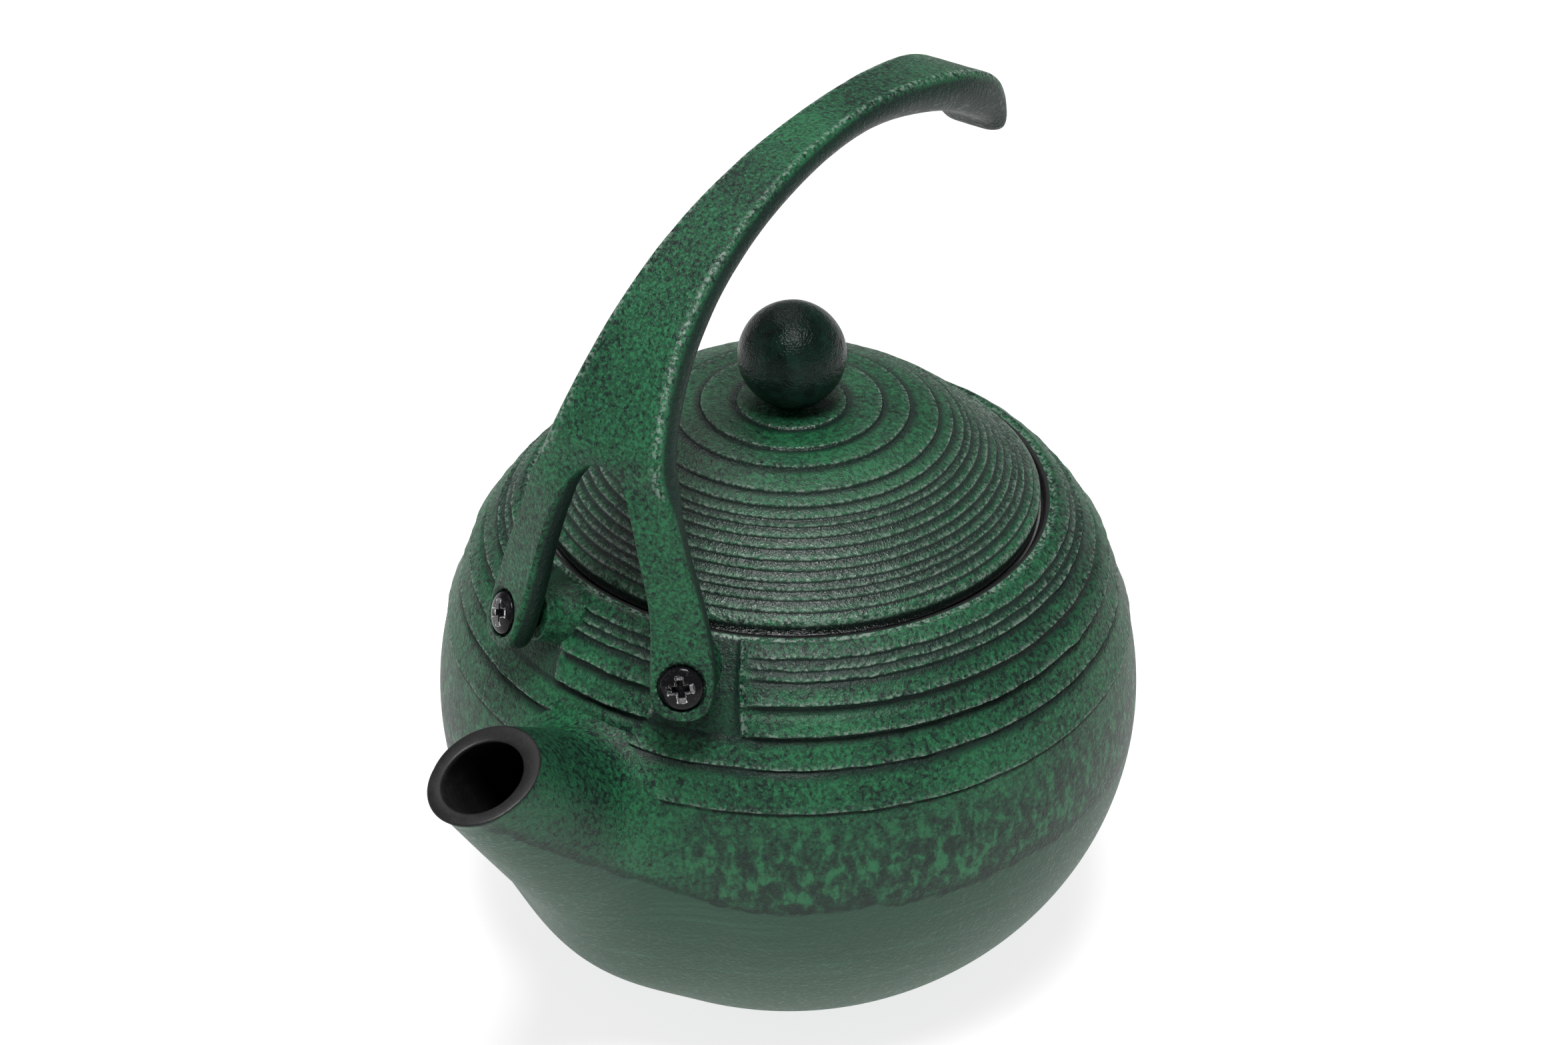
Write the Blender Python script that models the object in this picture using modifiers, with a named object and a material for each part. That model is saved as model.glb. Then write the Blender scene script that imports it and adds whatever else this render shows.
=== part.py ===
"""Cast iron teapot with a forked over-handle, built from separate castings, screws and a tea strainer.

Metres, +Z up. The origin is the centre of the flat base, the pot's axis is Z and the spout points to -Y.
"""
import math

import bmesh
import bpy
from mathutils import Matrix, Vector

MM = 0.001

# ---- clearances -----------------------------------------------------------
TOUCH_GAP = 0.3 * MM            # between pieces that rest on each other
BORE_GAP = 0.3 * MM             # radial, between a screw or stud and its hole
SEAT_GAP = 0.8 * MM             # radial, between the lid or strainer flange and the pot's seat
SKIRT_GAP = 1.0 * MM            # radial, between the lid's skirt and the strainer sleeve
EMBED = 3.0 * MM                # how far a feature reaches into the casting it grows from

# ---- pot body -------------------------------------------------------------
BODY_RADIUS = 62.3 * MM         # widest radius of the belly
BELLY_HEIGHT = 48.0 * MM        # height of the widest radius
BASE_RADIUS = 34.0 * MM         # flat foot
RIM_HEIGHT = 88.4 * MM          # top of the collar
POT_WALL = 3.2 * MM
POT_FLOOR = 4.0 * MM
COLLAR_LIP = 1.3 * MM           # width of the collar's top
SEAT_DEPTH = 2.1 * MM           # collar top down to the ledge
LEDGE_WIDTH = 3.4 * MM
LEDGE_THICKNESS = 3.0 * MM
LEDGE_SLOPE = 3.5 * MM          # height over which the ledge blends into the wall

# ---- lid ------------------------------------------------------------------
LID_RADIUS = 43.0 * MM
LID_RIM = 2.6 * MM              # height of the lid's upright edge
LID_RISE = 15.8 * MM            # rim to apex
LID_SHOULDER = 1.23             # fullness of the dome's shoulder
LID_FLARE = -1.28               # flattening of the dome near its rim
LID_WALL = 2.8 * MM
SKIRT_WALL = 2.0 * MM
SKIRT_DEPTH = 3.2 * MM

# ---- knob and its fixing ----------------------------------------------------
KNOB_RADIUS = 9.2 * MM
KNOB_SINK = 0.4 * MM            # ball's lowest point below the top of its foot face
KNOB_FOOT_RADIUS = 4.6 * MM
STUD_RADIUS = 2.0 * MM
STUD_END = 1.0 * MM             # stud past the nut
WASHER_RADIUS = 4.6 * MM
WASHER_THICKNESS = 0.8 * MM
NUT_RADIUS = 4.04 * MM          # across corners, half
NUT_HEIGHT = 3.2 * MM

# ---- tea strainer -----------------------------------------------------------
STEEL = 0.5 * MM                # sheet and mesh thickness
STRAINER_DEPTH = 42.0 * MM
STRAINER_TAPER = 3.0 * MM       # how much narrower the sleeve is at its foot
RIM_COLLAR_DEPTH = 5.0 * MM
SLEEVE_OVERLAP = 4.0 * MM       # sleeve inside the rim's collar
BAND_HEIGHT = 3.0 * MM
BAND_LIP = 1.5 * MM

# ---- spout ------------------------------------------------------------------
SPOUT_OUT = 22.1 * MM           # mouth centre beyond the belly
SPOUT_BELOW_RIM = 9.0 * MM      # mouth centre below the collar's top
SPOUT_ROOT_HEIGHT = 34.5 * MM
SPOUT_ROOT_RADIUS = 20.3 * MM
SPOUT_NECK_RADIUS = 13.5 * MM   # sets how fast it tapers
SPOUT_MOUTH_RADIUS = 8.3 * MM
SPOUT_BORE_RADIUS = 6.1 * MM    # at the mouth
SPOUT_ROOT_BORE = 9.0 * MM
SPOUT_RISE_ANGLE = 46.0         # degrees, direction of the tube at the mouth
SPOUT_MOUTH_TILT = 72.0         # degrees, how steeply the mouth faces up
SPOUT_BEND = 0.42               # where it bends, as a share of its length back from the mouth
SPOUT_PASS = 9.0 * MM           # extra tube that the mouth cut takes off
SPOUT_POINTS = 10

# ---- handle -----------------------------------------------------------------
HAND_SPACE = 27.2 * MM          # knob's top to the underside of the arch's highest point
SCREW_BELOW_RIM = 1.1 * MM      # centre of the screw heads below the collar's top
SCREW_SPREAD = 17.8 * MM        # screw heads from the plane of symmetry
SCREW_SPLAY = 27.5              # degrees, screw axes out from the spout's direction
SCREW_LIFT = 20.0               # degrees, screw axes above level
LUG_RADIUS = 4.7 * MM
LUG_STANDOFF = 5.0 * MM         # pot wall to the leg's inner face, along the screw
LEG_THICKNESS = 5.6 * MM
LEG_HALF_WIDTH = 4.9 * MM
ARCH_THICKNESS = 5.0 * MM
ARCH_HALF_WIDTH = 5.1 * MM
ARCH_TOP_BACK = 14.7 * MM       # highest point, behind the pot's axis
TAIL_REACH = 58.6 * MM          # free end, behind the pot's axis
TAIL_DROP = 21.0 * MM           # free end's tip below the highest point
TAIL_HALF_WIDTH = 7.4 * MM
SIDE_FLARE = 0.9 * MM           # how much wider the handle is behind its outer face
BACK_INSET = 1.5 * MM           # how much narrower its underside is
CROTCH_RISE = 1.6 * MM          # the fork's crotch above the ring that the legs leave

# ---- handle screws ------------------------------------------------------------
HEAD_RADIUS = 3.5 * MM
HEAD_EDGE = 0.7 * MM
HEAD_CROWN = 1.0 * MM
HEAD_RECESS = 1.1 * MM          # depth of the seat that the head lies in
HEAD_GAP = 0.35 * MM            # radial, head to its seat
SCREW_RADIUS = 2.0 * MM
SCREW_BITE = 5.2 * MM           # thread inside the lug
CROSS_WIDTH = 0.9 * MM
CROSS_LENGTH = 3.8 * MM
CROSS_DEPTH = 1.1 * MM

# ---- worked out ---------------------------------------------------------------
SEAT_RADIUS = LID_RADIUS + SEAT_GAP
COLLAR_RADIUS = SEAT_RADIUS + COLLAR_LIP
LEDGE_HEIGHT = RIM_HEIGHT - SEAT_DEPTH
MOUTH_RADIUS = SEAT_RADIUS - LEDGE_WIDTH
FLANGE_BOTTOM = LEDGE_HEIGHT + TOUCH_GAP
FLANGE_TOP = FLANGE_BOTTOM + STEEL
LID_SEAT = FLANGE_TOP + TOUCH_GAP
LID_EDGE_HEIGHT = LID_SEAT + LID_RIM
LID_APEX = LID_EDGE_HEIGHT + LID_RISE
SLEEVE_COLLAR_RADIUS = MOUTH_RADIUS - SEAT_GAP / 2
SLEEVE_RADIUS = SLEEVE_COLLAR_RADIUS - STEEL - TOUCH_GAP
SKIRT_RADIUS = SLEEVE_RADIUS - STEEL - SKIRT_GAP
KNOB_FACE = LID_APEX + TOUCH_GAP
KNOB_CENTRE = KNOB_FACE + KNOB_RADIUS - KNOB_SINK
KNOB_TOP = KNOB_CENTRE + KNOB_RADIUS
ARCH_TOP = KNOB_TOP + HAND_SPACE + ARCH_THICKNESS
FLANGE_RADIUS = SEAT_RADIUS - SEAT_GAP / 2
SCREW_HEIGHT = RIM_HEIGHT - SCREW_BELOW_RIM
SPOUT_MOUTH = Vector((0, -BODY_RADIUS - SPOUT_OUT, RIM_HEIGHT - SPOUT_BELOW_RIM))
SLEEVE_TOP = FLANGE_BOTTOM - RIM_COLLAR_DEPTH + SLEEVE_OVERLAP
SLEEVE_BOTTOM = SLEEVE_TOP - STRAINER_DEPTH
SLEEVE_FOOT_RADIUS = SLEEVE_RADIUS - STRAINER_TAPER
STUD_HOLE = STUD_RADIUS + BORE_GAP

SMOOTH_ANGLE = math.radians(35)
OBJECT_NAME = "cast_iron_teapot"
CUTTERS_NAME = "cutters"


def clear_scene():
    for old in list(bpy.data.objects):
        bpy.data.objects.remove(old)
    for old in list(bpy.data.collections):
        bpy.data.collections.remove(old)


def new_collection(name):
    made = bpy.data.collections.new(name)
    bpy.context.scene.collection.children.link(made)
    return made


def material(name, colour, roughness, metallic):
    made = bpy.data.materials.new(name)
    made.use_nodes = True
    shader = made.node_tree.nodes["Principled BSDF"]
    shader.inputs["Base Color"].default_value = (*colour, 1.0)
    shader.inputs["Roughness"].default_value = roughness
    shader.inputs["Metallic"].default_value = metallic
    return made


def add_object(name, mesh, collection, finish=None):
    made = bpy.data.objects.new(name, mesh)
    collection.objects.link(made)
    if finish:
        mesh.materials.append(finish)
    else:
        made.hide_render = True
        made.display_type = "WIRE"
    return made


def smooth(obj):
    obj.data.shade_smooth()
    obj.data.set_sharp_from_angle(angle=SMOOTH_ANGLE)


def turned(name, outline, steps, collection, finish=None, ring=False):
    """Turns an outline of (radius, height) about Z; a ring outline closes on itself."""
    points = [(radius, 0.0, height) for radius, height in outline]
    edges = [(i, i + 1) for i in range(len(points) - 1)]
    if ring:
        edges.append((len(points) - 1, 0))
    mesh = bpy.data.meshes.new(name)
    mesh.from_pydata(points, edges, [])
    made = add_object(name, mesh, collection, finish)
    screw = made.modifiers.new("turn", "SCREW")
    screw.axis = "Z"
    screw.steps = steps
    screw.render_steps = steps
    screw.use_merge_vertices = True
    screw.merge_threshold = 0.00001
    screw.use_smooth_shade = True
    return made


def boolean(target, other, operation):
    step = target.modifiers.new(operation.lower(), "BOOLEAN")
    step.operation = operation
    step.solver = "EXACT"
    step.object = other


def rod(name, radius, start, end, sides, collection, finish=None):
    """A round bar from one point to another."""
    along = Vector(end) - Vector(start)
    middle = (Vector(start) + Vector(end)) / 2
    turn = along.to_track_quat("Z", "Y").to_matrix().to_4x4()
    mesh = bpy.data.meshes.new(name)
    work = bmesh.new()
    bmesh.ops.create_cone(
        work, cap_ends=True, cap_tris=False, segments=sides, radius1=radius, radius2=radius,
        depth=along.length, matrix=Matrix.Translation(middle) @ turn)
    work.to_mesh(mesh)
    work.free()
    return add_object(name, mesh, collection, finish)


def block(name, size, place, collection):
    """A box of that size, centred and turned by the matrix."""
    mesh = bpy.data.meshes.new(name)
    work = bmesh.new()
    bmesh.ops.create_cube(work, size=1.0, matrix=place @ Matrix.Diagonal((*size, 1.0)))
    work.to_mesh(mesh)
    work.free()
    return add_object(name, mesh, collection)


def tapered_tube(name, points, radii, collection):
    """A round tube whose radius changes from point to point, as a closed mesh."""
    curve = bpy.data.curves.new(name, "CURVE")
    curve.dimensions = "3D"
    curve.bevel_depth = 1.0
    curve.bevel_resolution = 8
    curve.use_fill_caps = True
    spline = curve.splines.new("POLY")
    spline.points.add(len(points) - 1)
    for point, place, radius in zip(spline.points, points, radii):
        point.co = (*place, 1.0)
        point.radius = radius
    guide = bpy.data.objects.new(name + "_path", curve)
    collection.objects.link(guide)
    graph = bpy.context.evaluated_depsgraph_get()
    mesh = bpy.data.meshes.new_from_object(guide.evaluated_get(graph))
    bpy.data.objects.remove(guide)
    work = bmesh.new()
    work.from_mesh(mesh)
    bmesh.ops.remove_doubles(work, verts=work.verts, dist=0.00001)
    work.to_mesh(mesh)
    work.free()
    return add_object(name, mesh, collection)


# ---- pot body -------------------------------------------------------------------

def half_height(edge_radius, drop, widest):
    """Half height of the ellipse that is widest at the belly and has edge_radius at that drop."""
    return drop / math.sqrt(1 - (edge_radius / widest) ** 2)


UPPER_HALF = half_height(COLLAR_RADIUS, RIM_HEIGHT - BELLY_HEIGHT, BODY_RADIUS)
LOWER_HALF = half_height(BASE_RADIUS, BELLY_HEIGHT, BODY_RADIUS)


def belly_radius(height, inset=0.0):
    """Radius of the pot's wall at a height, taken inset inside its outer face."""
    half = (UPPER_HALF if height > BELLY_HEIGHT else LOWER_HALF) - inset
    share = (height - BELLY_HEIGHT) / half
    return (BODY_RADIUS - inset) * math.sqrt(max(0.0, 1 - share * share))


def spaced(first, last, count):
    return [first + (last - first) * i / (count - 1) for i in range(count)]


def pot_outline():
    upper = [(belly_radius(z), z) for z in spaced(RIM_HEIGHT, BELLY_HEIGHT, 7)]
    lower = [(belly_radius(z), z) for z in spaced(BELLY_HEIGHT, 0.0, 8)[1:]]
    return [(0.0, RIM_HEIGHT)] + upper + lower + [(0.0, 0.0)]


def cavity_outline():
    above = RIM_HEIGHT + EMBED
    under_ledge = LEDGE_HEIGHT - LEDGE_THICKNESS
    wall_top = under_ledge - LEDGE_SLOPE
    wall = [(belly_radius(z, POT_WALL), z) for z in spaced(wall_top, POT_FLOOR + POT_WALL, 9)]
    floor_radius = wall[-1][0] - POT_WALL
    return ([(0.0, above), (SEAT_RADIUS, above), (SEAT_RADIUS, LEDGE_HEIGHT),
             (MOUTH_RADIUS, LEDGE_HEIGHT), (MOUTH_RADIUS, under_ledge)]
            + wall + [(floor_radius, POT_FLOOR), (0.0, POT_FLOOR)])


def tilted(degrees):
    """Unit vector in the plane of symmetry, towards the spout and up by that angle."""
    angle = math.radians(degrees)
    return Vector((0, -math.cos(angle), math.sin(angle)))


def spout_point(share):
    """Centre line of the spout: a quadratic arc from inside the belly to the mouth."""
    depth = belly_radius(SPOUT_ROOT_HEIGHT) - SPOUT_ROOT_RADIUS
    root = Vector((0, -depth, SPOUT_ROOT_HEIGHT))
    length = (SPOUT_MOUTH - root).length
    bend = SPOUT_MOUTH - tilted(SPOUT_RISE_ANGLE) * length * SPOUT_BEND
    return root * (1 - share) ** 2 + bend * 2 * share * (1 - share) + SPOUT_MOUTH * share * share


def spout_solid(name, root_radius, neck_radius, mouth_radius, collection):
    shares = spaced(0.0, 1.0, SPOUT_POINTS)
    points = [spout_point(s) for s in shares]
    radii = [root_radius * (1 - s) ** 2 + neck_radius * 2 * s * (1 - s) + mouth_radius * s * s
             for s in shares]
    points.append(SPOUT_MOUTH + SPOUT_PASS * tilted(SPOUT_RISE_ANGLE))
    radii.append(mouth_radius)
    return tapered_tube(name, points, radii, collection)


def mouth_cutter(collection):
    """A block whose lower face is the plane of the spout's mouth."""
    facing = tilted(SPOUT_MOUTH_TILT)
    size = 4 * SPOUT_MOUTH_RADIUS
    centre = SPOUT_MOUTH + facing * size / 2
    turn = facing.to_track_quat("Z", "Y").to_matrix().to_4x4()
    return block("mouth_cut", (size, size, size), Matrix.Translation(centre) @ turn, collection)


# ---- handle frame: where the screws, lugs and legs lie ------------------------------

def splayed(side, splay_share, lift_share):
    """Unit vector turned out and up by shares of the screws' splay and lift. side is 1 or -1."""
    splay = math.radians(SCREW_SPLAY * splay_share)
    lift = math.radians(SCREW_LIFT * lift_share)
    return Vector((side * math.sin(splay) * math.cos(lift), -math.cos(splay) * math.cos(lift),
                   math.sin(lift)))


def screw_axis(side):
    """Unit vector along a handle screw, pointing out of its head."""
    return splayed(side, 1.0, 1.0)


def wall_point(side):
    """Where a screw's axis leaves the pot's wall, found by stepping down the axis to the wall."""
    axis = screw_axis(side)
    reach = LUG_STANDOFF + LEG_THICKNESS
    across = side * (SCREW_SPREAD - abs(axis.x) * reach)
    height = SCREW_HEIGHT - axis.z * reach
    radius = belly_radius(height)
    return Vector((across, -math.sqrt(radius ** 2 - across ** 2), height))


def lug_face(side):
    return wall_point(side) + screw_axis(side) * LUG_STANDOFF


def leg_back(side):
    return lug_face(side) + screw_axis(side) * TOUCH_GAP


def leg_front(side):
    return leg_back(side) + screw_axis(side) * LEG_THICKNESS


# ---- handle cage -----------------------------------------------------------------

FOOT = leg_front(1)
FOOT_OUT = -FOOT.y
FOOT_UP = FOOT.z
ARCH_SPAN = FOOT_OUT + ARCH_TOP_BACK
ARCH_CLIMB = ARCH_TOP - FOOT_UP


def arch_place(back_share, climb_share):
    """Outer face centre: shares of the way from the screw heads to the arch's highest point."""
    return Vector((0, -FOOT_OUT + back_share * ARCH_SPAN, FOOT_UP + climb_share * ARCH_CLIMB))


def tail_place(back_share, drop_share):
    """Outer face centre on the tail: shares of the way from the highest point to the free end."""
    back = ARCH_TOP_BACK + back_share * (TAIL_REACH - ARCH_TOP_BACK)
    return Vector((0, back, ARCH_TOP - drop_share * TAIL_DROP))


def arch_stations():
    """(outer face centre, half width, thickness) from the fork to the tail's tip."""
    thin = ARCH_THICKNESS
    slim = ARCH_HALF_WIDTH
    broad = TAIL_HALF_WIDTH
    fork = LEG_HALF_WIDTH * 2.6
    return [
        (arch_place(0.058, 0.452), fork, LEG_THICKNESS + 0.2 * MM),
        (arch_place(0.062, 0.503), fork * 0.91, LEG_THICKNESS + 0.3 * MM),
        (arch_place(0.103, 0.590), slim * 1.98, LEG_THICKNESS + 0.3 * MM),
        (arch_place(0.205, 0.735), slim * 1.57, thin + 0.8 * MM),
        (arch_place(0.370, 0.862), slim * 1.32, thin + 0.4 * MM),
        (arch_place(0.580, 0.947), slim * 1.15, thin),
        (arch_place(0.810, 0.991), slim * 1.02, thin),
        (arch_place(1.0, 1.0), slim, thin),
        (tail_place(0.26, 0.030), slim * 1.1, thin + 1.0 * MM),
        (tail_place(0.52, 0.12), broad * 0.90, thin + 2.0 * MM),
        (tail_place(0.70, 0.22), broad, thin + 2.8 * MM),
        (tail_place(0.865, 0.38), broad, thin + 3.4 * MM),
        (tail_place(0.965, 0.60), broad * 0.97, thin + 2.2 * MM),
        (tail_place(1.0, 0.82), broad * 0.93, thin + 0.2 * MM),
        (tail_place(1.0, 1.0), broad * 0.80, thin - 1.8 * MM),
    ]


def leg_stations(side):
    """(outer face centre, facing, half width, thickness) down one leg, round to its eye."""
    foot = leg_front(side)
    axis = screw_axis(side)
    down = (Vector((0, 0, -1)) + axis * axis.z).normalized()
    thick = LEG_THICKNESS
    full = LEG_HALF_WIDTH

    def place(across_share, back, up_share):
        return Vector((foot.x * across_share, foot.y + back, foot.z + up_share * ARCH_CLIMB))

    return [
        (place(0.56, 3.3 * MM, 0.405), splayed(side, 0.45, 0.25), full * 0.76, thick),
        (place(0.64, 2.8 * MM, 0.342), splayed(side, 0.66, 0.20), full * 0.74, thick),
        (place(0.74, 2.4 * MM, 0.265), splayed(side, 0.76, 0.15), full * 0.76, thick),
        (place(0.84, 2.2 * MM, 0.185), splayed(side, 0.80, 0.20), full * 0.82, thick),
        (place(0.92, 1.7 * MM, 0.105), splayed(side, 0.85, 0.50), full * 0.91, thick),
        (foot - down * full * 0.35, axis, full, thick),
        (foot + down * full * 0.62, axis, full * 0.97, thick),
        (foot + down * full * 1.12, axis, full * 0.58, thick),
    ]


# Columns across the outer face, as shares of the half width; the middle ones end at the crotch.
ARCH_COLUMNS = (-1.0, -0.31, 0.0, 0.31, 1.0)
LEG_COLUMNS = (-1.0, 1.0)
FRONT_CREASE = 0.75
BACK_CREASE = 0.25
CROTCH_CREASE = 0.35


def section(work, centre, facing, across, half_width, thickness, columns):
    """Vertices of a cross-section: the front row, the two flared side points and the back row."""
    front = [work.verts.new(centre + across * half_width * c) for c in columns]
    middle = centre - facing * thickness * 0.5
    flared = half_width + SIDE_FLARE
    sides = [work.verts.new(middle + across * flared * s) for s in (-1, 1)]
    back_centre = centre - facing * thickness
    back_width = half_width - BACK_INSET
    back = [work.verts.new(back_centre + across * back_width * c) for c in columns]
    return front, sides, back


def bridge(work, creases, upper, lower):
    """Joins two cross-sections with faces all round and creases their corners."""
    rows = [ring[0] + [ring[1][1]] + ring[2][::-1] + [ring[1][0]] for ring in (upper, lower)]
    count = len(rows[0])
    for i in range(count):
        j = (i + 1) % count
        work.faces.new((rows[0][i], rows[0][j], rows[1][j], rows[1][i]))
    for end in (0, -1):
        creases.append((upper[0][end], lower[0][end], FRONT_CREASE))
        creases.append((upper[2][end], lower[2][end], BACK_CREASE))


def close_row(work, front, middle, back):
    """Faces between a front row and a back row, through a middle row."""
    for i in range(len(front) - 1):
        work.faces.new((front[i], front[i + 1], middle[i + 1], middle[i]))
        work.faces.new((middle[i], middle[i + 1], back[i + 1], back[i]))


def cap(work, creases, ring):
    front, sides, back = ring
    inner = [work.verts.new((a.co + b.co) / 2) for a, b in zip(front[1:-1], back[1:-1])]
    close_row(work, front, [sides[0]] + inner + [sides[1]], back)
    for first, second in zip(front[:-1], front[1:]):
        creases.append((first, second, FRONT_CREASE))


def handle_cage():
    """The whole handle as one coarse cage: the arch's rings, then two legs from the first ring."""
    work = bmesh.new()
    creases = []
    across = Vector((1, 0, 0))
    stations = arch_stations()
    centres = [s[0] for s in stations]
    rings = []
    for i, (centre, half_width, thickness) in enumerate(stations):
        along = centres[min(i + 1, len(centres) - 1)] - centres[max(i - 1, 0)]
        facing = across.cross(along.normalized())
        rings.append(section(work, centre, facing, across, half_width, thickness, ARCH_COLUMNS))
    for lower, upper in zip(rings[:-1], rings[1:]):
        bridge(work, creases, upper, lower)
    cap(work, creases, rings[-1])

    front, sides, back = rings[0]
    for vert in (front[2], back[2]):
        vert.co.z += CROTCH_RISE
    web = [work.verts.new((front[i].co + back[i].co) / 2) for i in (1, 2, 3)]
    close_row(work, front[1:4], web, back[1:4])
    for first, second in ((1, 2), (2, 3)):
        creases.append((front[first], front[second], CROTCH_CREASE))
    starts = {-1: (front[0:2], [sides[0], web[0]], back[0:2]),
              1: (front[3:5], [web[2], sides[1]], back[3:5])}
    for side, ring in starts.items():
        for centre, facing, half_width, thickness in leg_stations(side):
            level = Vector((0, 0, 1)).cross(facing).normalized()
            lower = section(work, centre, facing, level, half_width, thickness, LEG_COLUMNS)
            bridge(work, creases, ring, lower)
            ring = lower
        cap(work, creases, ring)

    bmesh.ops.recalc_face_normals(work, faces=work.faces)
    layer = work.edges.layers.float.new("crease_edge")
    for first, second, sharpness in creases:
        work.edges.get((first, second))[layer] = sharpness
    return work


def make_handle(collection, cutters, finish):
    mesh = bpy.data.meshes.new("handle")
    work = handle_cage()
    work.to_mesh(mesh)
    work.free()
    handle = add_object("handle", mesh, collection, finish)
    rounding = handle.modifiers.new("rounding", "SUBSURF")
    rounding.levels = 1
    rounding.render_levels = 1
    for side, word in ((-1, "left"), (1, "right")):
        axis = screw_axis(side)
        front = leg_front(side)
        seat = rod("head_seat_" + word, HEAD_RADIUS + HEAD_GAP, front - axis * HEAD_RECESS,
                   front + axis * EMBED, 24, cutters)
        hole = rod("leg_hole_" + word, SCREW_RADIUS + BORE_GAP, front - axis * HEAD_RECESS / 2,
                   front - axis * (LEG_THICKNESS + EMBED), 16, cutters)
        boolean(handle, seat, "DIFFERENCE")
        boolean(handle, hole, "DIFFERENCE")
    smooth(handle)
    return handle


def make_screw(side, word, collection, cutters, finish):
    """A cross-recess screw, turned about Z with the underside of its head at the origin."""
    length = LEG_THICKNESS - HEAD_RECESS + TOUCH_GAP + SCREW_BITE
    crown = [(HEAD_RADIUS * math.sin(a), HEAD_EDGE + HEAD_CROWN * math.cos(a))
             for a in spaced(0.0, math.pi / 2, 5)]
    outline = crown + [(HEAD_RADIUS, 0.0), (SCREW_RADIUS, 0.0), (SCREW_RADIUS, -length), (0.0, -length)]
    outline[0] = (0.0, HEAD_EDGE + HEAD_CROWN)
    screw = turned("handle_screw_" + word, outline, 24, collection, finish)
    axis = screw_axis(side)
    seat = leg_front(side) - axis * (HEAD_RECESS - TOUCH_GAP)
    turn = axis.to_track_quat("Z", "Y").to_matrix().to_4x4()
    place = Matrix.Translation(seat) @ turn
    screw.matrix_world = place
    slot_middle = Matrix.Translation((0, 0, HEAD_EDGE + HEAD_CROWN))
    cross = block("cross_" + word, (CROSS_LENGTH, CROSS_WIDTH, 2 * CROSS_DEPTH), place @ slot_middle,
                  cutters)
    bar = block("cross_bar_" + word, (CROSS_WIDTH, CROSS_LENGTH, 2 * CROSS_DEPTH),
                place @ slot_middle, cutters)
    boolean(screw, cross, "DIFFERENCE")
    boolean(screw, bar, "DIFFERENCE")
    return screw


def make_pot(collection, cutters, finish):
    pot = turned("pot_body", pot_outline(), 48, collection, finish)
    spout = spout_solid("spout_outside", SPOUT_ROOT_RADIUS, SPOUT_NECK_RADIUS, SPOUT_MOUTH_RADIUS,
                        cutters)
    boolean(pot, spout, "UNION")
    for side, word in ((-1, "left"), (1, "right")):
        lug = rod("lug_" + word, LUG_RADIUS, wall_point(side) - screw_axis(side) * EMBED,
                  lug_face(side), 20, cutters)
        boolean(pot, lug, "UNION")
    boolean(pot, mouth_cutter(cutters), "DIFFERENCE")
    boolean(pot, turned("cavity", cavity_outline(), 48, cutters), "DIFFERENCE")
    bore = spout_solid("spout_inside", SPOUT_ROOT_BORE, SPOUT_ROOT_BORE, SPOUT_BORE_RADIUS, cutters)
    boolean(pot, bore, "DIFFERENCE")
    for side, word in ((-1, "left"), (1, "right")):
        axis = screw_axis(side)
        tapped = rod("lug_hole_" + word, SCREW_RADIUS + BORE_GAP,
                     lug_face(side) - axis * (SCREW_BITE + TOUCH_GAP), lug_face(side) + axis * EMBED,
                     16, cutters)
        boolean(pot, tapped, "DIFFERENCE")
    return pot


# ---- lid and knob ---------------------------------------------------------------------

def lid_height(radius):
    """Height of the dome's outer face above the base."""
    share = (radius / LID_RADIUS) ** 2
    full = 1 + LID_SHOULDER * share + LID_FLARE * share * share
    return LID_EDGE_HEIGHT + LID_RISE * (1 - share) * full


def make_lid(collection, finish):
    skirt_inside = SKIRT_RADIUS - SKIRT_WALL
    dome = [(r, lid_height(r)) for r in spaced(STUD_HOLE, LID_RADIUS, 9)]
    ceiling = [(r, lid_height(r) - LID_WALL) for r in spaced(skirt_inside, STUD_HOLE, 6)]
    edge = [(LID_RADIUS, LID_SEAT), (SKIRT_RADIUS, LID_SEAT), (SKIRT_RADIUS, LID_SEAT - SKIRT_DEPTH),
            (skirt_inside, LID_SEAT - SKIRT_DEPTH)]
    return turned("lid", dome + edge + ceiling, 48, collection, finish, ring=True)


def make_knob(collection, finish):
    drop = math.sqrt(KNOB_RADIUS ** 2 - KNOB_FOOT_RADIUS ** 2)
    last = math.pi - math.atan2(KNOB_FOOT_RADIUS, drop)
    ball = [(KNOB_RADIUS * math.sin(a), KNOB_CENTRE + KNOB_RADIUS * math.cos(a))
            for a in spaced(0.0, last, 11)]
    ball[0] = (0.0, KNOB_TOP)
    stud_bottom = nut_bottom() - STUD_END
    below = [(KNOB_FOOT_RADIUS, KNOB_FACE), (STUD_RADIUS, KNOB_FACE), (STUD_RADIUS, stud_bottom),
             (0.0, stud_bottom)]
    return turned("lid_knob", ball + below, 24, collection, finish)


def washer_top():
    return lid_height(WASHER_RADIUS) - LID_WALL - TOUCH_GAP


def nut_bottom():
    return washer_top() - WASHER_THICKNESS - TOUCH_GAP - NUT_HEIGHT


def make_washer(collection, finish):
    top = washer_top()
    bottom = top - WASHER_THICKNESS
    outline = [(STUD_HOLE, top), (WASHER_RADIUS, top), (WASHER_RADIUS, bottom), (STUD_HOLE, bottom)]
    return turned("knob_washer", outline, 24, collection, finish, ring=True)


def make_nut(collection, cutters, finish):
    bottom = nut_bottom()
    nut = rod("knob_nut", NUT_RADIUS, (0, 0, bottom), (0, 0, bottom + NUT_HEIGHT), 6, collection, finish)
    hole = rod("nut_hole", STUD_HOLE, (0, 0, bottom - EMBED), (0, 0, bottom + NUT_HEIGHT + EMBED), 24,
               cutters)
    boolean(nut, hole, "DIFFERENCE")
    return nut


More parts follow.
